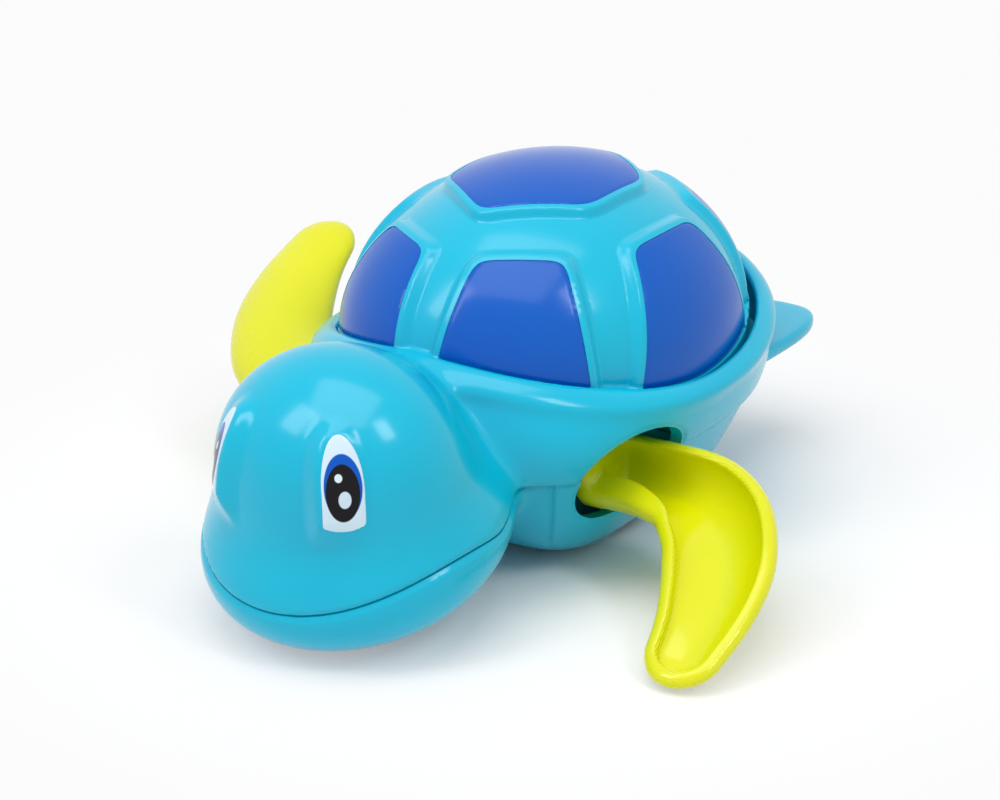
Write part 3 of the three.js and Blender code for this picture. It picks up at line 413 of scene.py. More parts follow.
def make_grid(faces, low, high, step):
    """The solid's own field on a grid that reaches a little past its box."""
    axes = [np.arange(low[k] - 1.5 * step, high[k] + 2.5 * step, step) for k in range(3)]
    grid = np.meshgrid(*[a.astype(np.float32) for a in axes], indexing="ij")
    return axes, np.max(np.stack(faces(*grid)), 0).astype(np.float32)


axes, value = make_grid(ball_faces, (-5, -5, -5), (5, 5, 5), 0.6)
ring = find_crossings(ball_faces, value, axes, 0, 0.6)[0]
print("the ball crosses the lines of its grid along x", len(ring), "times")

# %% [markdown]
# The point of a cell starts as the mean of the crossings round it. It is slid onto the
# skin, evened out twice, and slid again each time. A quad belongs to the face that its
# corners share, and takes its shading normals from that face.

# %% From crossings to quads
def sample_skin(faces, low, high, step):
    """Points, quads and one normal for each corner of a quad."""
    axes, value = make_grid(faces, low, high, step)
    size = (np.array(value.shape) - 1).prod()
    total, count, owner_bits = np.zeros((3, size)), np.zeros(size), np.zeros(size, int)
    quads = []
    for axis in range(3):
        ring, outward, place, bit = find_crossings(faces, value, axes, axis, step)
        for flat in ring.T:
            for k in range(3):
                total[k] += np.bincount(flat, place[:, k], size)
            count += np.bincount(flat, minlength=size)
            np.bitwise_or.at(owner_bits, flat, bit)
        quads.append(np.where(outward[:, None], ring, ring[:, ::-1]))
    used = np.flatnonzero(count)
    number = np.full(size, -1)
    number[used] = np.arange(len(used))
    quads = number[np.concatenate(quads)]
    points, owners = (total[:, used] / count[used]).T, owner_bits[used]
    on_edge = (owners & (owners - 1)) > 0
    points = settle(faces, points, owners, step)
    for _ in range(2):
        points = settle(faces, relax(points, quads, on_edge), owners, step, 1)
    slopes = face_slopes(faces, points)
    slopes /= np.maximum(np.linalg.norm(slopes, axis=2, keepdims=True), 1e-9)
    shared = np.bitwise_and.reduce(owners[quads], axis=1)
    shared = np.where(shared > 0, shared, np.bitwise_or.reduce(owners[quads], axis=1))
    face = np.log2(shared & -shared).astype(int)
    return points, quads, slopes[face[:, None], quads]


ball = sample_skin(ball_faces, (-5, -5, -5), (5, 5, 5), 0.6)[0]
print("the sampled ball is true to", round(float(np.abs(ball_faces(*ball.T)[0]).max()), 4), "mm")

# %% [markdown]
# Blender gets the points and quads as a mesh. The normals go in as custom split normals,
# because the ones that Blender would average from the quads blur at a crisp edge.

# %% Writing a mesh
MM = 0.001


def write_mesh(name, points, faces, normals=None):
    mesh = bpy.data.meshes.new(name)
    mesh.from_pydata((np.asarray(points) * MM).tolist(), [], np.asarray(faces).tolist())
    mesh.polygons.foreach_set("use_smooth", [True] * len(mesh.polygons))
    if normals is not None:
        mesh.normals_split_custom_set(normals.reshape(-1, 3).tolist())
    piece = bpy.data.objects.new(name, mesh)
    bpy.context.scene.collection.objects.link(piece)
    return piece


def skin_piece(name, faces, low, high, step):
    points, quads, normals = sample_skin(faces, low, high, step)
    piece = write_mesh(name, points, quads, normals)
    print(name, len(quads), "quads, box", points.min(0).round(2), points.max(0).round(2))
    return piece


print("pieces are written at", MM, "m to the millimetre")

# %% [markdown]
# ## Upper body
# On the real toy this is one moulding: skirt, rim, head and the two hind paddles. It
# could be sculpted, but the parts that must agree with the frame, such as the seat of
# the carapace and the ports, are easier to cut from a field. The skirt stands a little
# proud of the hull below it, as the two halves of a moulded toy do.

# %% Walls of both halves
def shell_field(x, y, z, tuck):
    """The eased outer skin, and the wall behind it."""
    outer = body_field(x, y, z, tuck) + soft_lips(x, y, z)
    return outer, np.maximum(outer, -(outer + WALL))


HULL_WALL = shell_field(*HULL_MIDDLE, 0)[1]
print("the middle of the toy is", round(float(HULL_WALL), 1), "mm from the inside of the wall")

# %% Hind paddles
PADDLE_X, PADDLE_HALF_WIDTH, PADDLE_POWER = 16.3, 8.3, 3
PADDLE_Y, PADDLE_LENGTH = 33, 17.4
PADDLE_Z, PADDLE_HALF_THICKNESS, PADDLE_ROUND = 20.6, 1.2, 1.4


def paddle_field(x, y, z):
    across = np.abs((np.abs(x) - PADDLE_X) / PADDLE_HALF_WIDTH)
    along = np.abs((y - PADDLE_Y) / PADDLE_LENGTH)
    reach = (across ** PADDLE_POWER + along ** PADDLE_POWER) ** (1 / PADDLE_POWER)
    edge = PADDLE_HALF_WIDTH * (reach - 1)
    return smooth_max(edge, np.abs(z - PADDLE_Z) - PADDLE_HALF_THICKNESS, PADDLE_ROUND)


print("paddles", 2 * PADDLE_HALF_WIDTH, "mm wide, reaching back to", PADDLE_Y + PADDLE_LENGTH, "mm")

# %% [markdown]
# Inside the rim a ledge carries the carapace. A pocket of the dome's plan is cut down to
# the ledge, and a smaller window through it, so that the toy is hollow right up into
# the dome. The parting line and the ports are faces of their own, so they stay crisp.

# %% Upper body with its seat and ports
BODY_STEP, SEAM_GAP = 0.55, 0.3
UPPER_BOX = (-35, -75, 8), (35, 53.5, 43.5)
LEDGE_TOP_Z, LEDGE_THICKNESS, LEDGE_INSET = 25.7, 2.0, 1.0
POCKET_X, POCKET_Y, POCKET_ROUND = 30.7, 36.9, 1.8
WINDOW_X, WINDOW_Y, WINDOW_FROM_Z = 23.5, 28.0, 15
WALL_FILLET, PADDLE_FILLET = 0.6, 1.6


def upper_faces(x, y, z):
    outer, shell = shell_field(x, y, z, 0)
    along = y - RIM_CENTRE_Y
    level = np.abs(z - LEDGE_TOP_Z + LEDGE_THICKNESS / 2) - LEDGE_THICKNESS / 2
    inside = np.maximum(outer + LEDGE_INSET, ellipse_field(x, along, RIM_X + 2, RIM_Y + 2))
    ledge = np.maximum(level, inside)
    pocket = np.maximum(ellipse_field(x, along, POCKET_X, POCKET_Y), LEDGE_TOP_Z - z)
    window = np.maximum(ellipse_field(x, along, WINDOW_X, WINDOW_Y), WINDOW_FROM_Z - z)
    shell = smooth_min(shell, np.minimum(ledge, well_field(x, y, z, outer)), WALL_FILLET)
    tub = smooth_max(shell, -pocket, POCKET_ROUND)
    tub = np.maximum(tub, -window)
    paddle = np.maximum(paddle_field(x, y, z), -(outer + WALL))
    body = smooth_min(tub, paddle, PADDLE_FILLET)
    return body, seam_height(y) + SEAM_GAP / 2 - z, -port_field(x, y, z)


upper = skin_piece("upper_body_skin", upper_faces, *UPPER_BOX, BODY_STEP)
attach(upper, "turtle_body")
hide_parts("upper_body")

# %% [markdown]
# ## Lower hull
# The hull is the second half of the same skin, below the parting line. Five screws come
# up into it from below, so the posts and the counterbores that the screws sit in are
# part of the field too.

# %% Lower hull with its screw posts
LOWER_BOX = (-32, -75, 0), (32, 39.5, 19.2)
OVERHANG = 0.9
SCREW_SITES = [(0, -52), (15, -2), (-15, -2), (12.5, 17), (-12.5, 17)]
SCREW_HEAD_Z = 4.2
POST_RADIUS, HEAD_HOLE, SHANK_HOLE = 3.0, 2.8, 1.5
POST_INSET, POST_FILLET, HOLE_ROUND = 0.7, 0.8, 0.3


def lower_faces(x, y, z):
    outer, shell = shell_field(x, y, z, OVERHANG)
    shell = smooth_min(shell + slide_lines(x, y, z), well_field(x, y, z, outer), WALL_FILLET)
    for site_x, site_y in SCREW_SITES:
        from_axis = np.hypot(x - site_x, y - site_y)
        post = np.maximum(from_axis - POST_RADIUS, outer + POST_INSET)
        shell = smooth_min(shell, post, POST_FILLET)
        counterbore = np.maximum(from_axis - HEAD_HOLE, z - SCREW_HEAD_Z)
        shell = smooth_max(shell, -np.minimum(counterbore, from_axis - SHANK_HOLE), HOLE_ROUND)
    return shell, z - seam_height(y) + SEAM_GAP / 2, -port_field(x, y, z)


lower = skin_piece("lower_hull_skin", lower_faces, *LOWER_BOX, BODY_STEP)
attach(lower, "turtle_body")
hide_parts("lower_hull")

# %% [markdown]
# ## Carapace and scutes
# The dome is half an ellipsoid on a short upright foot, a little longer to the rear. A
# sphere that is scaled and cut would give the same form, but as a field it takes the
# raised seats of the scutes with soft slopes. The foot stands just below the crest of
# the rim all round.

# %% The dome
DOME_BASE_Z, DOME_X, DOME_Y, DOME_REAR_Y, DOME_RISE = 31.3, 28.8, 34.0, 35.6, 24.2


def dome_field(x, y, z):
    rise = np.maximum(z - DOME_BASE_Z, 0)
    length = np.where(y > 0, DOME_REAR_Y, DOME_Y)
    scaled = np.sqrt((x / DOME_X) ** 2 + (y / length) ** 2 + (rise / DOME_RISE) ** 2)
    slope = np.sqrt((x / DOME_X ** 2) ** 2 + (y / length ** 2) ** 2 + (rise / DOME_RISE ** 2) ** 2)
    return scaled * (scaled - 1) / np.maximum(slope, 1e-6)


def dome_point(bearing, height):
    shrink = math.sqrt(1 - (height / DOME_RISE) ** 2) if height > 0 else 1
    angle = math.radians(bearing)
    return Vector((DOME_X * shrink * math.sin(angle), -DOME_Y * shrink * math.cos(angle), height))


print("the dome's top is", DOME_BASE_Z + DOME_RISE, "mm up")

# %% [markdown]
# The scute outlines are planes through the dome's centre, so their edges run straight
# over the dome, as great circles do on a globe. Two corners of an outline and the centre
# give one plane. The top scute has six sides, each of the others stands on the foot.

# %% Scute outlines
TOP_HEIGHT = 16.5
SIDE_SPANS, CORNER_SPANS = (24.6, 18.3), (21.8, 16.3)
TOP_TIP, TOP_HALF_WIDTH, TOP_HALF_SIDE = 16.7, 12.2, 7.3
SCUTE_BEARINGS = (("front", 28.5), ("side", 90), ("rear", 151.5))


def side_scute(bearing):
    foot_span, top_span = SIDE_SPANS if abs(bearing) == 90 else CORNER_SPANS
    corners = ((-foot_span, 0), (-top_span, TOP_HEIGHT), (top_span, TOP_HEIGHT), (foot_span, 0))
    return [dome_point(bearing + span, height) for span, height in corners]


def top_scute():
    half, side = TOP_HALF_WIDTH, TOP_HALF_SIDE
    plan = [(0, -TOP_TIP), (half, -side), (half, side), (0, TOP_TIP), (-half, side), (-half, -side)]
    return [Vector((x, y, DOME_RISE * math.sqrt(1 - (x / DOME_X) ** 2 - (y / DOME_Y) ** 2)))
            for x, y in plan + plan[:1]]


def outline_planes(corners):
    middle = sum(corners, Vector()) / len(corners)
    planes = []
    for here, there in zip(corners, corners[1:]):
        normal = here.cross(there).normalized()
        planes.append(tuple(-normal if normal.dot(middle) > 0 else normal))
    return planes


SCUTES = {"scute_top": outline_planes(top_scute())}
for name, bearing in SCUTE_BEARINGS:
    SCUTES[f"scute_{name}_left"] = outline_planes(side_scute(bearing))
    SCUTES[f"scute_{name}_right"] = outline_planes(side_scute(-bearing))
print("scutes", len(SCUTES))

# %% Outline of a scute with rounded corners
CORNER_BLEND = 3.2


def outline_field(planes, x, y, z):
    level = z - DOME_BASE_Z
    sides = [n[0] * x + n[1] * y + n[2] * level for n in planes]
    field = sides[0]
    for side in sides[1:]:
        field = smooth_max(field, side, CORNER_BLEND)
    return field


DOME_TOP = [np.float64(value) for value in (0, 0, DOME_BASE_Z + DOME_RISE)]
top_reach = -outline_field(SCUTES["scute_top"], *DOME_TOP)
print("the middle of the top scute is", round(float(top_reach), 1), "mm from its edge")

# %% [markdown]
# Each scute lies in a seat raised from the dome: a narrow lip goes round it and slopes
# down into the bands between. The seats are added to the dome's field, and the pockets
# are a face of their own, so that the edge of the lip stays crisp.

# %% The carapace
CARAPACE_STEP = 0.45
CARAPACE_BOX = (-30.8, -35.8, 26), (30.8, 37.8, 57)
FOOT_X, FOOT_Y, FOOT_REAR_Y, FOOT_BELOW_CREST, FOOT_Z = 30.15, 35.15, 37.2, 0.8, 26.0
SCUTE_RISE, SCUTE_THICKNESS, SEAT_PLAY, LIP, SLOPE = 1.2, 0.65, 0.02, 0.65, 1.6
SEAT_DEPTH, FOOT_FILLET = 0.3, 0.8


def foot_top(x, y):
    return rim_height(x, y) - FOOT_BELOW_CREST


def carapace_faces(x, y, z):
    dome = dome_field(x, y, z)
    outline = np.full_like(dome, 99.0)
    for planes in SCUTES.values():
        outline = np.minimum(outline, outline_field(planes, x, y, z))
    seat = SCUTE_RISE * (1 - smooth_step((outline - SEAT_PLAY - LIP) / SLOPE))
    floor = SCUTE_RISE - SCUTE_THICKNESS - SEAT_DEPTH
    pocket = np.maximum(np.maximum(outline - SEAT_PLAY, floor - dome), foot_top(x, y) - z)
    foot = ellipse_field(x, y, FOOT_X, np.where(y > 0, FOOT_REAR_Y, FOOT_Y))
    foot = np.maximum(foot, z - foot_top(x, y))
    skin = smooth_min(dome - seat, foot, FOOT_FILLET)
    return smooth_max(skin, -(dome + WALL), FOOT_FILLET), -pocket, FOOT_Z - z


carapace = skin_piece("carapace_shell", carapace_faces, *CARAPACE_BOX, CARAPACE_STEP)
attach(carapace, "turtle_body")
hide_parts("carapace")

# %% [markdown]
# Each scute is a thin plate of its own. Its top is parallel to the dome and sinks a
# little at its edge, so that it meets the lip round it without a dark gap.

# %% The seven scutes
SCUTE_STEP = 0.36
SCUTE_EASE, EASE_REACH = 0.12, 0.35
SCUTE_FOOT_GAP, SCUTE_FOOT_ROUND = 0.1, 0.4
BELOW_BOX, ABOVE_BOX = 1.5, 3.0
scutes = []
for name, planes in SCUTES.items():
    def scute_faces(x, y, z, planes=planes):
        dome, outline = dome_field(x, y, z), outline_field(planes, x, y, z)
        foot = foot_top(x, y) + SCUTE_FOOT_GAP - z
        outline = smooth_max(outline, foot, SCUTE_FOOT_ROUND)
        top = dome - SCUTE_RISE + SCUTE_EASE * np.exp(-(np.minimum(outline, 0) / EASE_REACH) ** 2)
        return top, outline, SCUTE_RISE - SCUTE_THICKNESS - dome

    low, high = (tuple(corner / MM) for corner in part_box(name))
    low = [value - BELOW_BOX for value in low]
    high = [value + ABOVE_BOX for value in high]
    piece = skin_piece(name + "_plate", scute_faces, low, high, SCUTE_STEP)
    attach(piece, "turtle_body")
    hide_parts(name)
    scutes.append(piece)

# %% [markdown]
# ## Scoop flippers
# A flipper is a bent trough: a half-round dish that follows a curved spine, with a
# rolled edge, closed by a hub disc at the axle and by a rounded end at the tip. A sweep
# along a curve would do for the dish but not for the soft joint with the hub, so the
# distance to the spine gives a field once more. Both flippers are the same moulding,
# mirrored, and stand half a turn apart on their axle.

# %% The bent spine
SPINE = np.array([(20.4, 0), (31, 0), (38.2, 1.4), (43.4, 5.4), (47.4, 12), (49.8, 20), (50.6, 28),
                  (50.4, 34.6)])
SPINE_STEPS, SPINE_RUN_ON = 6, 12


def smooth_curve(points, steps):
    """Centripetal curve through the points, as the CAD blade follows."""
    ends = np.vstack([2 * points[0] - points[1], points, 2 * points[-1] - points[-2]])
    curve = []
    for a, b, c, d in zip(ends, ends[1:], ends[2:], ends[3:]):
        d0, d1, d2 = (max(np.linalg.norm(q - p), 1e-6) ** 0.5 for p, q in ((a, b), (b, c), (c, d)))
        start = ((b - a) / d0 - (c - a) / (d0 + d1) + (c - b) / d1) * d1
        end = ((c - b) / d1 - (d - b) / (d1 + d2) + (d - c) / d2) * d1
        second, third = 3 * (c - b) - 2 * start - end, 2 * (b - c) + start + end
        for t in np.linspace(0, 1, steps, endpoint=False):
            curve.append(b + t * start + t * t * second + t ** 3 * third)
    return np.array(curve + [points[-1]])


spine_curve = smooth_curve(SPINE, SPINE_STEPS)
SPINE_LENGTH = np.linalg.norm(np.diff(spine_curve, axis=0), axis=1).sum()
tip = spine_curve[-1] - spine_curve[-2]
SPINE_LINE = np.vstack([spine_curve, spine_curve[-1] + tip / np.linalg.norm(tip) * SPINE_RUN_ON])
print("blade spine", round(SPINE_LENGTH, 1), "mm")

# %% [markdown]
# A point is placed by how far along the spine it lies and how far to one side. Straight
# pieces of the spine would leave creases on the glossy skin, so the direction is turned
# evenly from one end of each piece to the other.

# %% Along the spine
SPINE_AHEAD = np.gradient(SPINE_LINE, axis=0)
SPINE_AHEAD /= np.linalg.norm(SPINE_AHEAD, axis=1, keepdims=True)


def along_spine(x, y):
    """Distance along the spine and, signed, away from it."""
    best = np.full(np.shape(x), 1e9, np.float32)
    along = np.zeros_like(best)
    away = np.zeros_like(best)
    run = 0.0
    for k in range(len(SPINE_LINE) - 1):
        (ax, ay), (bx, by) = SPINE_LINE[k], SPINE_LINE[k + 1]
        (px, py), (qx, qy) = SPINE_AHEAD[k], SPINE_AHEAD[k + 1]
        past = (x - ax) * px + (y - ay) * py
        short = (bx - x) * qx + (by - y) * qy
        share = np.clip(past / np.maximum(past + short, 1e-3), 0, 1)
        dx, dy = x - ax - share * (bx - ax), y - ay - share * (by - ay)
        gap = dx ** 2 + dy ** 2
        side = dx * (py + share * (qy - py)) - dy * (px + share * (qx - px))
        nearer = gap < best
        length = math.hypot(bx - ax, by - ay)
        best = np.where(nearer, gap, best)
        along = np.where(nearer, run + share * length, along)
        away = np.where(nearer, np.where(side < 0, -1, 1) * np.sqrt(gap), away)
        run += length
    return along, away


halfway = along_spine(*(np.array([value]) for value in SPINE_LINE[len(SPINE_LINE) // 2]))[0]
print("the middle point of the spine is", round(float(halfway[0]), 1), "mm along it")

# %% [markdown]
# The dish and its hollow are both troughs: half of a long dish with round ends. The
# hollow has a lower power, which gives it softer sides and a deeper middle. Along the
# blade the dish swells, then tapers, and grows shallower toward the tip.

# %% Trough
def trough(away, z, past_end, half, depth, round_end, power=2.0):
    """Half of a long round-ended dish."""
    down = np.minimum(z, 0)
    rim = np.sqrt((away / half) ** 2 + (past_end / round_end) ** 2)
    scaled = (rim ** power + np.abs(down / depth) ** power) ** (1 / power)
    terms = (away / half ** 2, down / depth ** 2, past_end / round_end ** 2)
    slope = np.sqrt(terms[0] ** 2 + terms[1] ** 2 + terms[2] ** 2)
    slope = slope / np.maximum(np.sqrt(rim ** 2 + (down / depth) ** 2), 1e-6)
    return (scaled - 1) / np.maximum(slope, 1e-6)


HUB_RADIUS, TIP_ROUND = 6.8, 5.6
halfway_down = [np.float64(value) for value in (0, -HUB_RADIUS / 2, 0)]
to_bottom = -trough(*halfway_down, HUB_RADIUS, HUB_RADIUS, TIP_ROUND)
print("halfway down, the bottom of a trough is", round(float(to_bottom), 1), "mm away")

# %% Width and depth of the dish along the blade
SWELL, SWELL_FROM, SWELL_SPAN = 1.9, 0.1, 0.35
TAPER, TAPER_FROM, TAPER_SPAN = 3.2, 0.55, 0.5
ARM_RISE, ARM_RISE_SPAN = 2.0, 0.5
TIP_RISE, TIP_RISE_FROM, TIP_RISE_SPAN = 2.4, 0.4, 0.6


def dish_size(t):
    """Half the width and the depth, at a share t of the spine."""
    swell = SWELL * smooth_step((t - SWELL_FROM) / SWELL_SPAN)
    taper = TAPER * smooth_step((t - TAPER_FROM) / TAPER_SPAN)
    arm_rise = ARM_RISE * smooth_step(t / ARM_RISE_SPAN)
    tip_rise = TIP_RISE * smooth_step((t - TIP_RISE_FROM) / TIP_RISE_SPAN)
    return HUB_RADIUS + swell - taper, HUB_RADIUS - arm_rise - tip_rise


for t in (0.0, 0.5, 1.0):
    half, depth = (round(float(size), 1) for size in dish_size(np.float64(t)))
    print("dish at", t, "of the spine:", 2 * half, "mm wide,", depth, "mm deep")

# %% [markdown]
# Hub disc, neck and the socket for the axle complete the moulding. On the arm, near the
# hub, the wall is thicker on one side, so the hollow is narrower there and off centre.

# %% One flipper
FLIPPER_STEP = 0.45
FLIPPER_BOX = (16, -10, -7.5), (60, 36.5, 7.5)
AXLE_RADIUS, AXLE_HALF_LENGTH, SOCKET_PLAY = 1.5, 20.6, 0.3
HUB_END_RADIUS, HUB_FROM, HUB_TO, HUB_ROUND = 6.4, 18.6, 22.4, 3.8
NECK_RADIUS, NECK_FROM, NECK_FILLET = 3.4, 17.2, 0.6
RIM_TOP, RIM_ROLL = 1.1, 3.6
BLADE_WALL, FLOOR_WALL, HOLLOW_POWER, HOLLOW_ROUND, LIP_ROUND = 2.4, 1.3, 1.6, 2.5, 1.0
ARM_EXTRA, ARM_FROM, ARM_SPAN, HUB_FILLET = 1.9, 0.12, 0.28, 2.0


def flipper_faces(x, y, z):
    along, away = along_spine(x, y)
    t = along / SPINE_LENGTH
    half, depth = dish_size(t)
    past_end = np.maximum(along - SPINE_LENGTH + TIP_ROUND, 0)
    dish = smooth_max(trough(away, z, past_end, half, depth, TIP_ROUND), z - RIM_TOP, RIM_ROLL)
    dish = np.maximum(dish, SPINE[0, 0] - x)
    radius = np.hypot(y, z)
    across_disc = np.abs(x - (HUB_FROM + HUB_TO) / 2) - (HUB_TO - HUB_FROM) / 2
    disc = smooth_max(radius - HUB_END_RADIUS, across_disc, HUB_ROUND)
    extra = ARM_EXTRA * (1 - smooth_step((t - ARM_FROM) / ARM_SPAN))
    hollow = trough(away - extra / 2, z, past_end, half - BLADE_WALL - extra / 2,
                    depth - FLOOR_WALL, TIP_ROUND - BLADE_WALL, HOLLOW_POWER)
    hollow = smooth_max(hollow, HUB_TO - x, HOLLOW_ROUND)
    blade = smooth_max(smooth_min(dish, disc, HUB_FILLET), -hollow, LIP_ROUND)
    neck = np.maximum(radius - NECK_RADIUS, np.maximum(x - HUB_TO, NECK_FROM - x))
    blade = smooth_min(blade, neck, NECK_FILLET)
    socket = np.maximum(radius - AXLE_RADIUS - SOCKET_PLAY, x - AXLE_HALF_LENGTH - SOCKET_PLAY)
    return blade, -socket


points, quads, normals = sample_skin(flipper_faces, *FLIPPER_BOX, FLIPPER_STEP)
print("flipper", len(quads), "quads")

# %% [markdown]
# The same points are placed twice on the axle. The left scoop reaches forward and a
# little down. The right one stands half a turn on, so it reaches back and up. Putting
# the left one in place mirrors the points, which turns its quads inside out, so their
# corners are read backward there.

# %% Both flippers on the axle
FLIPPER_DROP = 27.0
flippers = []
for side, name in ((1, "left"), (-1, "right")):
    turn = math.radians(FLIPPER_DROP + (0 if side > 0 else 180))
    cos, sin = math.cos(turn), math.sin(turn)
    place = np.array([[side, 0, 0], [0, -cos, -sin], [0, -sin, cos]])
    placed = points @ place.T + (0, AXLE_Y, AXLE_Z)
    faces = quads[:, ::-1] if side > 0 else quads
    piece = write_mesh(name + "_flipper_scoop", placed, faces, normals @ place.T)
    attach(piece, "flipper_drive")
    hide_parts(name + "_flipper")
    flippers.append(piece)
    print(piece.name, placed.min(0).round(1), placed.max(0).round(1))

# %% [markdown]
# ## Eyes
# The eyes are arched plates that follow the head's skin a hair proud of it. Their print
# is made in the material below; the plate itself is the head's own field, cut out by
# the arched outline looking along the eye's direction.

# %% Eye plates
EYE_PROUD, EYE_SUNK, EYE_STEP = 0.15, 0.4, 0.25
EYE_FOOT_RISE, EYE_CORNER, EYE_EDGE_ROUND, EYE_BEHIND = 0.8, 0.6, 0.3, 12
EYE_BOX_X, EYE_BOX_Y, EYE_BOX_Z = (-7, 5), (-5, 10), 8.5


def eye_faces(x, y, z, side):
    across, up, forward = eye_frame(x, y, z, side)
    half, tall = EYE["half_width"], EYE["height"] / 2
    foot = -up - tall + EYE_FOOT_RISE * (across / half) ** 2
    outline = smooth_max(eye_arch(across, up), foot, EYE_CORNER)
    skin = body_field(x, y, z, 0)
    plate = np.abs(skin - (EYE_PROUD - EYE_SUNK) / 2) - (EYE_PROUD + EYE_SUNK) / 2
    return smooth_max(plate, outline, EYE_EDGE_ROUND), -forward - EYE_BEHIND


eyes = []
for side, name in ((1, "left"), (-1, "right")):
    ends = [side * (EYE["x"] + reach) for reach in EYE_BOX_X]
    low = (min(ends), EYE["y"] + EYE_BOX_Y[0], EYE["z"] - EYE_BOX_Z)
    high = (max(ends), EYE["y"] + EYE_BOX_Y[1], EYE["z"] + EYE_BOX_Z)
    faces = lambda x, y, z, side=side: eye_faces(x, y, z, side)
    piece = skin_piece(name + "_eye_plate", faces, low, high, EYE_STEP)
    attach(piece, "turtle_body")
    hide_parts(name + "_eye")
    eyes.append(piece)

# %% [markdown]
# ## Effects shared by the plastics
# Coloured toy plastic is never quite even: the pigment drifts a little, and the gloss
# is broken by a faint moulding ripple. Each effect is a node group with named sockets,
# built once and placed in every plastic with its own values.

# %% Node helpers
def new_group(name, inputs, outputs):
    group = bpy.data.node_groups.new(name, "ShaderNodeTree")
    for label, kind, default in inputs:
        socket = group.interface.new_socket(label, in_out="INPUT", socket_type=kind)
        socket.default_value = default
    for label, kind in outputs:
        group.interface.new_socket(label, in_out="OUTPUT", socket_type=kind)
    return group, group.nodes.new("NodeGroupInput"), group.nodes.new("NodeGroupOutput")


def add_node(tree, kind, inputs=None, **settings):
    node = tree.nodes.new(kind)
    for key, value in settings.items():
        setattr(node, key, value)
    for key, value in (inputs or {}).items():
        if isinstance(value, bpy.types.NodeSocket):
            tree.links.new(value, node.inputs[key])
        else:
            node.inputs[key].default_value = value
    return node


def math_node(tree, operation, *values):
    return add_node(tree, "ShaderNodeMath", dict(enumerate(values)), operation=operation).outputs[0]


def mix_colours(tree, factor, first, second):
    inputs = {0: factor, 6: first, 7: second}
    return add_node(tree, "ShaderNodeMix", inputs, data_type="RGBA").outputs[2]


def ramp(tree, value, low, high):
    inputs = {0: value, 1: low, 2: high}
    return add_node(tree, "ShaderNodeMapRange", inputs, interpolation_type="SMOOTHSTEP").outputs[0]


def object_place(tree):
    """Where a point lies on the piece, which stays with the piece when it moves."""
    return add_node(tree, "ShaderNodeTexCoord").outputs["Object"]


def noise(tree, place, scale, detail):
    inputs = {"Vector": place, "Scale": scale, "Detail": detail}
    return add_node(tree, "ShaderNodeTexNoise", inputs).outputs[0]


def new_material(name):
    material = bpy.data.materials.new(name)
    material.use_nodes = True
    return material, material.node_tree, material.node_tree.nodes["Principled BSDF"]


print("node helpers ready; groups so far:", len(bpy.data.node_groups))

# %% Pigment drift: a slow change of depth in the colour
CLOUD_DETAIL, CLOUD_LOW, CLOUD_HIGH = 3.0, 0.35, 0.75
drift, inside, outside = new_group(
    "pigment drift",
    [("Colour", "NodeSocketColor", (0.5, 0.5, 0.5, 1)),
     ("Deep colour", "NodeSocketColor", (0.2, 0.2, 0.2, 1)),
     ("Scale", "NodeSocketFloat", 40.0), ("Amount", "NodeSocketFloat", 0.3)],
    [("Colour", "NodeSocketColor")])
cloud = noise(drift, object_place(drift), inside.outputs["Scale"], CLOUD_DETAIL)
deepening = ramp(drift, cloud, CLOUD_LOW, CLOUD_HIGH)
share = math_node(drift, "MULTIPLY", deepening, inside.outputs["Amount"])
drifted = mix_colours(drift, share, inside.outputs["Colour"], inside.outputs["Deep colour"])
drift.links.new(drifted, outside.inputs["Colour"])
print(drift.name, len(drift.nodes), "nodes")

# %% [markdown]
# A steel mould is polished by hand, so the gloss of what comes out of it wanders a
# little, and the skin has a faint ripple. Both come from noise: broad patches move the
# roughness, and a finer one gives the height for a very small bump.

# %% Moulded gloss: roughness that wanders, and a fine ripple
PATCH_SCALE, PATCH_DETAIL, RIPPLE_DETAIL = 90.0, 4.0, 2.0
gloss, inside, outside = new_group(
    "moulded gloss",
    [("Roughness", "NodeSocketFloat", 0.2), ("Wander", "NodeSocketFloat", 0.06),
     ("Ripple scale", "NodeSocketFloat", 160.0)],
    [("Roughness", "NodeSocketFloat"), ("Height", "NodeSocketFloat")])
place = object_place(gloss)
patches = math_node(gloss, "SUBTRACT", noise(gloss, place, PATCH_SCALE, PATCH_DETAIL), 0.5)
ripple = noise(gloss, place, inside.outputs["Ripple scale"], RIPPLE_DETAIL)
wander = math_node(gloss, "MULTIPLY", patches, inside.outputs["Wander"])
gloss.links.new(math_node(gloss, "ADD", inside.outputs["Roughness"], wander), outside.inputs["Roughness"])
gloss.links.new(ripple, outside.inputs["Height"])
print("groups", [group.name for group in bpy.data.node_groups])

# %% [markdown]
# ## Finishes
# One function makes every plastic: pigment drift for the colour, moulded gloss for the
# roughness, a faint bump, and a clear coat that stands for the polish of the mould. The
# scoops are slightly translucent, so there a little light is let under the skin.

# %% Plastic
BUMP_STRENGTH, COAT_ROUGH = 0.6, 0.05
UNDER_SPREAD, UNDER_DEPTH = (1.0, 1.0, 0.6), 0.0015


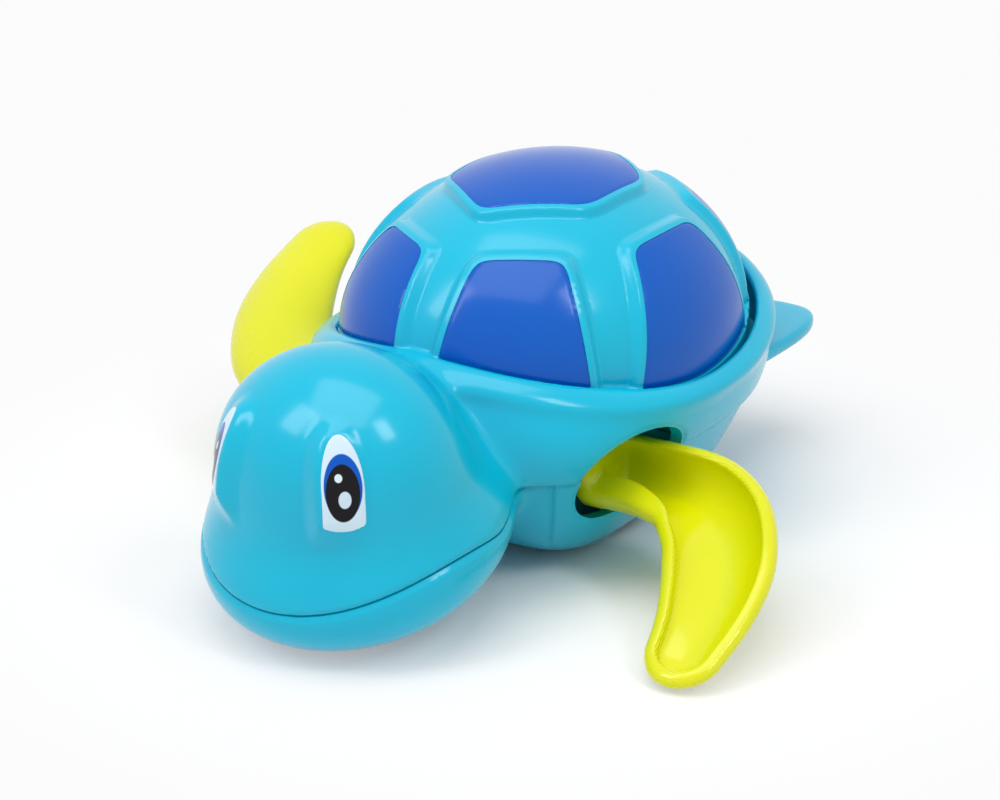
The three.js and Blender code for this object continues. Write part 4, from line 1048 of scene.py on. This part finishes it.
def plastic(name, colour, deep, rough, drift_scale=35.0, drift_amount=0.35, wander=0.05,
            ripple=140.0, bump=0.00002, coat=0.1, shine=0.3, under=0.0, painted_shade=None):
    material, tree, shader = new_material(name)
    colours = add_node(tree, "ShaderNodeGroup", node_tree=drift)
    colours.inputs["Colour"].default_value = (*colour, 1)
    colours.inputs["Deep colour"].default_value = (*deep, 1)
    colours.inputs["Scale"].default_value = drift_scale
    colours.inputs["Amount"].default_value = drift_amount
    polish = add_node(tree, "ShaderNodeGroup", node_tree=gloss)
    polish.inputs["Roughness"].default_value = rough
    polish.inputs["Wander"].default_value = wander
    polish.inputs["Ripple scale"].default_value = ripple
    bumps = add_node(tree, "ShaderNodeBump", {"Height": polish.outputs["Height"], "Distance": bump,
                                              "Strength": BUMP_STRENGTH})
    # A piece may take painted shade on top of its drifting colour.
    base = colours.outputs["Colour"] if painted_shade is None else painted_shade(tree, colours.outputs["Colour"])
    tree.links.new(base, shader.inputs["Base Color"])
    tree.links.new(polish.outputs["Roughness"], shader.inputs["Roughness"])
    tree.links.new(bumps.outputs["Normal"], shader.inputs["Normal"])
    shader.inputs["Coat Weight"].default_value = coat
    shader.inputs["Coat Roughness"].default_value = COAT_ROUGH
    shader.inputs["Specular IOR Level"].default_value = shine
    if under:
        shader.inputs["Subsurface Weight"].default_value = under
        shader.inputs["Subsurface Radius"].default_value = UNDER_SPREAD
        shader.inputs["Subsurface Scale"].default_value = UNDER_DEPTH
    return material


TEAL = plastic("teal plastic", (0.0, 0.46, 0.66), (0.0, 0.39, 0.60), 0.2)
print(TEAL.name, len(TEAL.node_tree.nodes), "nodes")

# %% [markdown]
# Near its hub the scoop is deep and lies in shade. That shade is painted into the colour:
# a darker green tint by the distance from the toy's middle. The distance is measured
# along the axle, so the painted shade stays put when the flippers turn.

# %% Painted shade in the root of the scoops
ROOT_FROM, ROOT_TO, ROOT_SHADE_AMOUNT = 0.034, 0.022, 0.45
ROOT_SHADE_GREEN = (0.35, 0.52, 0.0, 1)


def painted_root_shade(tree, colour):
    """Painted shade: the scoop is greener and darker down in the root, where the dish is deep."""
    across = add_node(tree, "ShaderNodeSeparateXYZ", {0: object_place(tree)}).outputs[0]
    near = ramp(tree, math_node(tree, "ABSOLUTE", across), ROOT_FROM, ROOT_TO)
    return mix_colours(tree, math_node(tree, "MULTIPLY", near, ROOT_SHADE_AMOUNT), colour, ROOT_SHADE_GREEN)


# The scoops' colour carries the painted shade in their root.
LIME = plastic("yellow-green plastic", (0.72, 0.72, 0.0), (0.63, 0.66, 0.0), 0.2, coat=0.25,
               under=0.15, painted_shade=painted_root_shade)
print(LIME.name, len(LIME.node_tree.nodes), "nodes")

# %% [markdown]
# Teal, royal blue and yellow-green are the toy's three moulded colours. The motor case
# and its gears are inside the hull, and are of duller plastic without pigment.

# %% The other plastics
BLUE = plastic("royal blue plastic", (0.0, 0.1, 0.5), (0.0, 0.075, 0.44), 0.18, coat=0.06, shine=0.22)
CASE = plastic("off-white motor plastic", (0.78, 0.78, 0.74), (0.68, 0.68, 0.62), 0.4, coat=0.0)
GEAR = plastic("natural gear plastic", (0.86, 0.85, 0.8), (0.76, 0.74, 0.66), 0.42, coat=0.0)
print("plastics", [material.name for material in (TEAL, BLUE, LIME, CASE, GEAR)])

# %% [markdown]
# The metal pieces are drawn wire, rolled strip and turned brass. Fine lines along the
# stock come from a noise that is squeezed ten to forty times as much one way as the
# other, and it wears the gloss as well as the colour.

# %% Metals
STREAK_SCALE, STREAK_DETAIL, STREAK_WEAR = 30.0, 4.0, 0.2


def metal(name, colour, dull, rough, stretch):
    material, tree, shader = new_material(name)
    lines = add_node(tree, "ShaderNodeMapping", {"Vector": object_place(tree), "Scale": stretch})
    streaks = noise(tree, lines.outputs[0], STREAK_SCALE, STREAK_DETAIL)
    base = mix_colours(tree, streaks, (*colour, 1), (*dull, 1))
    tree.links.new(base, shader.inputs["Base Color"])
    worn = math_node(tree, "ADD", math_node(tree, "MULTIPLY", streaks, STREAK_WEAR), rough)
    tree.links.new(worn, shader.inputs["Roughness"])
    shader.inputs["Metallic"].default_value = 1.0
    return material


STEEL = metal("drawn steel", (0.66, 0.68, 0.71), (0.5, 0.52, 0.55), 0.2, (1, 40, 40))
SPRING = metal("blued spring strip", (0.3, 0.33, 0.38), (0.2, 0.22, 0.28), 0.22, (1, 30, 30))
BRASS = metal("turned brass", (0.76, 0.55, 0.22), (0.6, 0.42, 0.16), 0.22, (60, 6, 6))
print("metals", [material.name for material in (STEEL, SPRING, BRASS)])

# %% [markdown]
# The eye is printed on the glossy plate: a blue iris, a tall black pupil in it and two
# white lights. Each shape is an ellipse laid out in the plane of the plate, and both
# eyes share the print, mirrored.

# %% Eye print
# middle across, middle up, half width and half height in mm, and the colour of the paint
EYE_WHITE = (0.62, 0.78, 0.88, 1)
EYE_SPOTS = ((0.0, -0.15, 2.7, 4.5, (0.0, 0.09, 0.5, 1)),
             (-0.08, -0.95, 2.4, 4.0, (0.003, 0.002, 0.004, 1)),
             (0.12, -1.8, 0.9, 1.2, (0.6, 0.74, 0.84, 1)),
             (-0.6, 1.25, 0.54, 0.58, (0.68, 0.82, 0.9, 1)))
PRINT_EDGE, PRINT_ROUGH, PRINT_SHINE = 0.06, 0.2, 0.2


def eye_print():
    material, tree, shader = new_material("printed eye")
    x, y, z = add_node(tree, "ShaderNodeSeparateXYZ", {0: object_place(tree)}).outputs
    yaw = math.radians(EYE["yaw"])
    dx = math_node(tree, "SUBTRACT", math_node(tree, "ABSOLUTE", x), EYE["x"] * MM)
    dy = math_node(tree, "SUBTRACT", y, EYE["y"] * MM)
    across = math_node(tree, "ADD", math_node(tree, "MULTIPLY", dx, math.cos(yaw)),
                       math_node(tree, "MULTIPLY", dy, math.sin(yaw)))
    up = math_node(tree, "SUBTRACT", z, EYE["z"] * MM)

    def reach_within(value, middle, half):
        return math_node(tree, "DIVIDE", math_node(tree, "SUBTRACT", value, middle * MM), half * MM)

    colour = EYE_WHITE
    for middle_x, middle_z, half_width, half_height, paint in EYE_SPOTS:
        u, v = reach_within(across, middle_x, half_width), reach_within(up, middle_z, half_height)
        squares = math_node(tree, "ADD", math_node(tree, "MULTIPLY", u, u),
                            math_node(tree, "MULTIPLY", v, v))
        reach = math_node(tree, "SQRT", squares)
        edge = PRINT_EDGE / min(half_width, half_height)
        colour = mix_colours(tree, ramp(tree, reach, 1 + edge, 1 - edge), colour, paint)
    tree.links.new(colour, shader.inputs["Base Color"])
    polish = add_node(tree, "ShaderNodeGroup", node_tree=gloss)
    polish.inputs["Roughness"].default_value = PRINT_ROUGH
    tree.links.new(polish.outputs["Roughness"], shader.inputs["Roughness"])
    shader.inputs["Specular IOR Level"].default_value = PRINT_SHINE
    return material


EYE_PRINT = eye_print()
print(EYE_PRINT.name, len(EYE_PRINT.node_tree.nodes), "nodes")

# %% [markdown]
# Every node of the CAD frame names a material slot, so one table dresses them all. The
# finer pieces made above are dressed one by one, each like the node that it replaces.

# %% Finishes on the pieces
def dress(piece, material):
    piece.data.materials.clear()
    piece.data.materials.append(material)


FINISHES = {"teal_plastic": TEAL, "blue_plastic": BLUE, "lime_plastic": LIME, "eye_print": EYE_PRINT,
            "motor_plastic": CASE, "gear_plastic": GEAR, "steel": STEEL, "spring_steel": SPRING,
            "brass": BRASS}
for entry in frame["record"]["subparts"]:
    dress(frame["nodes"][entry["node"]], FINISHES[entry["material_slot"]])
FINE_PIECES = (((upper, lower, carapace), TEAL), (scutes, BLUE), (flippers, LIME), (eyes, EYE_PRINT))
for pieces, material in FINE_PIECES:
    for piece in pieces:
        dress(piece, material)
count = sum(len(pieces) for pieces, material in FINE_PIECES)
print("dressed", len(frame["nodes"]), "nodes and", count, "pieces")

# %% [markdown]
# ## Studio
# The toy stands on seamless white paper under a broad soft light, with a window at the
# camera's left and a smaller one at its right. The floor is a sheet that lies square to
# the camera and curves up behind, so the horizon doesn't show.

# %% Where the camera stands
CAMERA_AZIMUTH, CAMERA_ELEVATION, CAMERA_DISTANCE = 34.0, 22.0, 450.0
CAMERA_TARGET = Vector((-2.92, -7.96, 18.99))


def direction(azimuth, elevation):
    """Out from the toy, round to its left from the nose, and up."""
    turn, tilt = math.radians(azimuth), math.radians(elevation)
    return Vector((math.sin(turn) * math.cos(tilt), -math.cos(turn) * math.cos(tilt), math.sin(tilt)))


TO_CAMERA = direction(CAMERA_AZIMUTH, CAMERA_ELEVATION)
print("toward the camera", [round(value, 3) for value in TO_CAMERA])

# %% Floor sheet, in metres
SHEET_HALF, SHEET_FRONT, SHEET_BACK, SHEET_RISE = 2.0, -3.0, 1.6, 1.6
CURVE_RADIUS, CURVE_STEPS, FLOOR_BELOW = 0.6, 12, 0.0001


def floor_sheet():
    curve_y = SHEET_BACK - CURVE_RADIUS
    profile = [(SHEET_FRONT, 0.0), (curve_y, 0.0)]
    for k in range(1, CURVE_STEPS + 1):
        angle = math.pi / 2 * k / CURVE_STEPS
        profile.append((curve_y + CURVE_RADIUS * math.sin(angle),
                        CURVE_RADIUS - CURVE_RADIUS * math.cos(angle)))
    profile.append((SHEET_BACK, SHEET_RISE))
    away = math.radians(CAMERA_AZIMUTH)
    forward = Vector((-math.sin(away), math.cos(away), 0))
    across = Vector((math.cos(away), math.sin(away), 0))
    points = [across * side + forward * run + Vector((0, 0, height - FLOOR_BELOW))
              for run, height in profile for side in (-SHEET_HALF, SHEET_HALF)]
    faces = [(2 * k, 2 * k + 1, 2 * k + 3, 2 * k + 2) for k in range(len(profile) - 1)]
    return write_mesh("floor_sheet", np.array(points) / MM, faces)


floor = floor_sheet()
print("floor", [round(size, 2) for size in floor.dimensions], "m")

# %% [markdown]
# White paper that is only lit would turn grey at its far edges. Away from the toy it
# therefore glows a plain white, but only for rays that show it: the camera's own, and
# those that come by way of gloss or clear plastic. So it doesn't light the toy, and
# near the toy it stays plain paper, which takes the shadow.

# %% White paper
PAPER_WHITE, FIBRE_GREY = (0.9, 0.9, 0.9, 1), (0.87, 0.87, 0.875, 1)
FIBRE_SCALE, FIBRE_DETAIL = 300.0, 3.0
PAPER_ROUGH, PAPER_SHINE = 0.7, 0.2
GLOW_WHITE, GLOW_FROM, GLOW_FULL = (0.97, 0.97, 0.975, 1), 0.02, 0.12


def shown_rays(tree):
    """One for the rays that show a background, and nothing for those that light the toy."""
    rays = add_node(tree, "ShaderNodeLightPath").outputs
    mirrored = math_node(tree, "MAXIMUM", rays["Is Glossy Ray"], rays["Is Transmission Ray"])
    return math_node(tree, "MAXIMUM", rays["Is Camera Ray"], mirrored)


paper, tree, shader = new_material("white paper")
fibres = add_node(tree, "ShaderNodeTexNoise", {"Scale": FIBRE_SCALE, "Detail": FIBRE_DETAIL})
tree.links.new(mix_colours(tree, fibres.outputs[0], PAPER_WHITE, FIBRE_GREY), shader.inputs["Base Color"])
shader.inputs["Roughness"].default_value = PAPER_ROUGH
shader.inputs["Specular IOR Level"].default_value = PAPER_SHINE
length = add_node(tree, "ShaderNodeVectorMath", {0: object_place(tree)}, operation="LENGTH")
beyond = ramp(tree, length.outputs["Value"], GLOW_FROM, GLOW_FULL)
glow = add_node(tree, "ShaderNodeEmission", {"Color": GLOW_WHITE, "Strength": 1.0})
share = math_node(tree, "MULTIPLY", beyond, shown_rays(tree))
blend = add_node(tree, "ShaderNodeMixShader", {0: share, 1: shader.outputs[0], 2: glow.outputs[0]})
tree.links.new(blend.outputs[0], tree.nodes["Material Output"].inputs["Surface"])
dress(floor, paper)
print(paper.name, len(tree.nodes), "nodes")

# %% [markdown]
# The world does the same: it shows as plain white, and lights the toy with less than
# half of that, so that the lamps still shape it.

# %% World
AMBIENT = 0.44
world = bpy.data.worlds.new("studio")
bpy.context.scene.world = world
world.use_nodes = True
tree = world.node_tree
tree.nodes.clear()
strength = math_node(tree, "ADD", math_node(tree, "MULTIPLY", shown_rays(tree), 1 - AMBIENT), AMBIENT)
shade = add_node(tree, "ShaderNodeBackground", {"Color": (1, 1, 1, 1), "Strength": strength})
result = add_node(tree, "ShaderNodeOutputWorld")
tree.links.new(shade.outputs[0], result.inputs["Surface"])
print("world", len(tree.nodes), "nodes, ambient light", AMBIENT)

# %% [markdown]
# Large area lamps near the toy act as soft boxes. Their reflections are the bright
# shapes on the dome, the head and the scoop, so each is placed by where the photograph
# shows such a shape, and its power by how dark the shadow beside it is.

# %% Lamps
LAMP_DISTANCE, LAMP_AIM = 0.9, Vector((0, 0, 0.02))


def softbox(name, azimuth, elevation, size, watts):
    lamp = bpy.data.lights.new(name, "AREA")
    lamp.shape = "RECTANGLE"
    lamp.size, lamp.size_y = size
    lamp.energy = watts
    body = bpy.data.objects.new(name, lamp)
    away = direction(azimuth, elevation)
    body.location = away * LAMP_DISTANCE + LAMP_AIM
    body.rotation_euler = away.to_track_quat("Z", "Y").to_euler()
    bpy.context.scene.collection.objects.link(body)
    return body


lamps = [softbox("overhead box", 15, 80, (0.75, 0.75), 4.7),
         softbox("left window", -30, 46, (0.3, 0.4), 1.9),
         softbox("right window", 80, 48, (0.2, 0.3), 1.5)]
print("lamps", [(lamp.name, round(lamp.data.energy, 1)) for lamp in lamps])

# %% [markdown]
# ## Camera
# The camera stands at the photograph's angle: 34 degrees round to the turtle's left of
# its nose and 22 degrees up, with a long lens, as its weak perspective shows.

# %% Camera
SENSOR_WIDTH, FOCAL_LENGTH, NEAREST = 36, 103.68, 0.01
camera_data = bpy.data.cameras.new("camera")
camera_data.sensor_width = SENSOR_WIDTH
camera_data.lens = FOCAL_LENGTH
camera_data.clip_start = NEAREST
camera = bpy.data.objects.new("camera", camera_data)
camera.location = (CAMERA_TARGET + TO_CAMERA * CAMERA_DISTANCE) * MM
camera.rotation_euler = TO_CAMERA.to_track_quat("Z", "Y").to_euler()
bpy.context.scene.collection.objects.link(camera)
bpy.context.scene.camera = camera
bpy.context.scene.view_settings.view_transform = "Standard"
print("camera at", [round(value, 3) for value in camera.location])
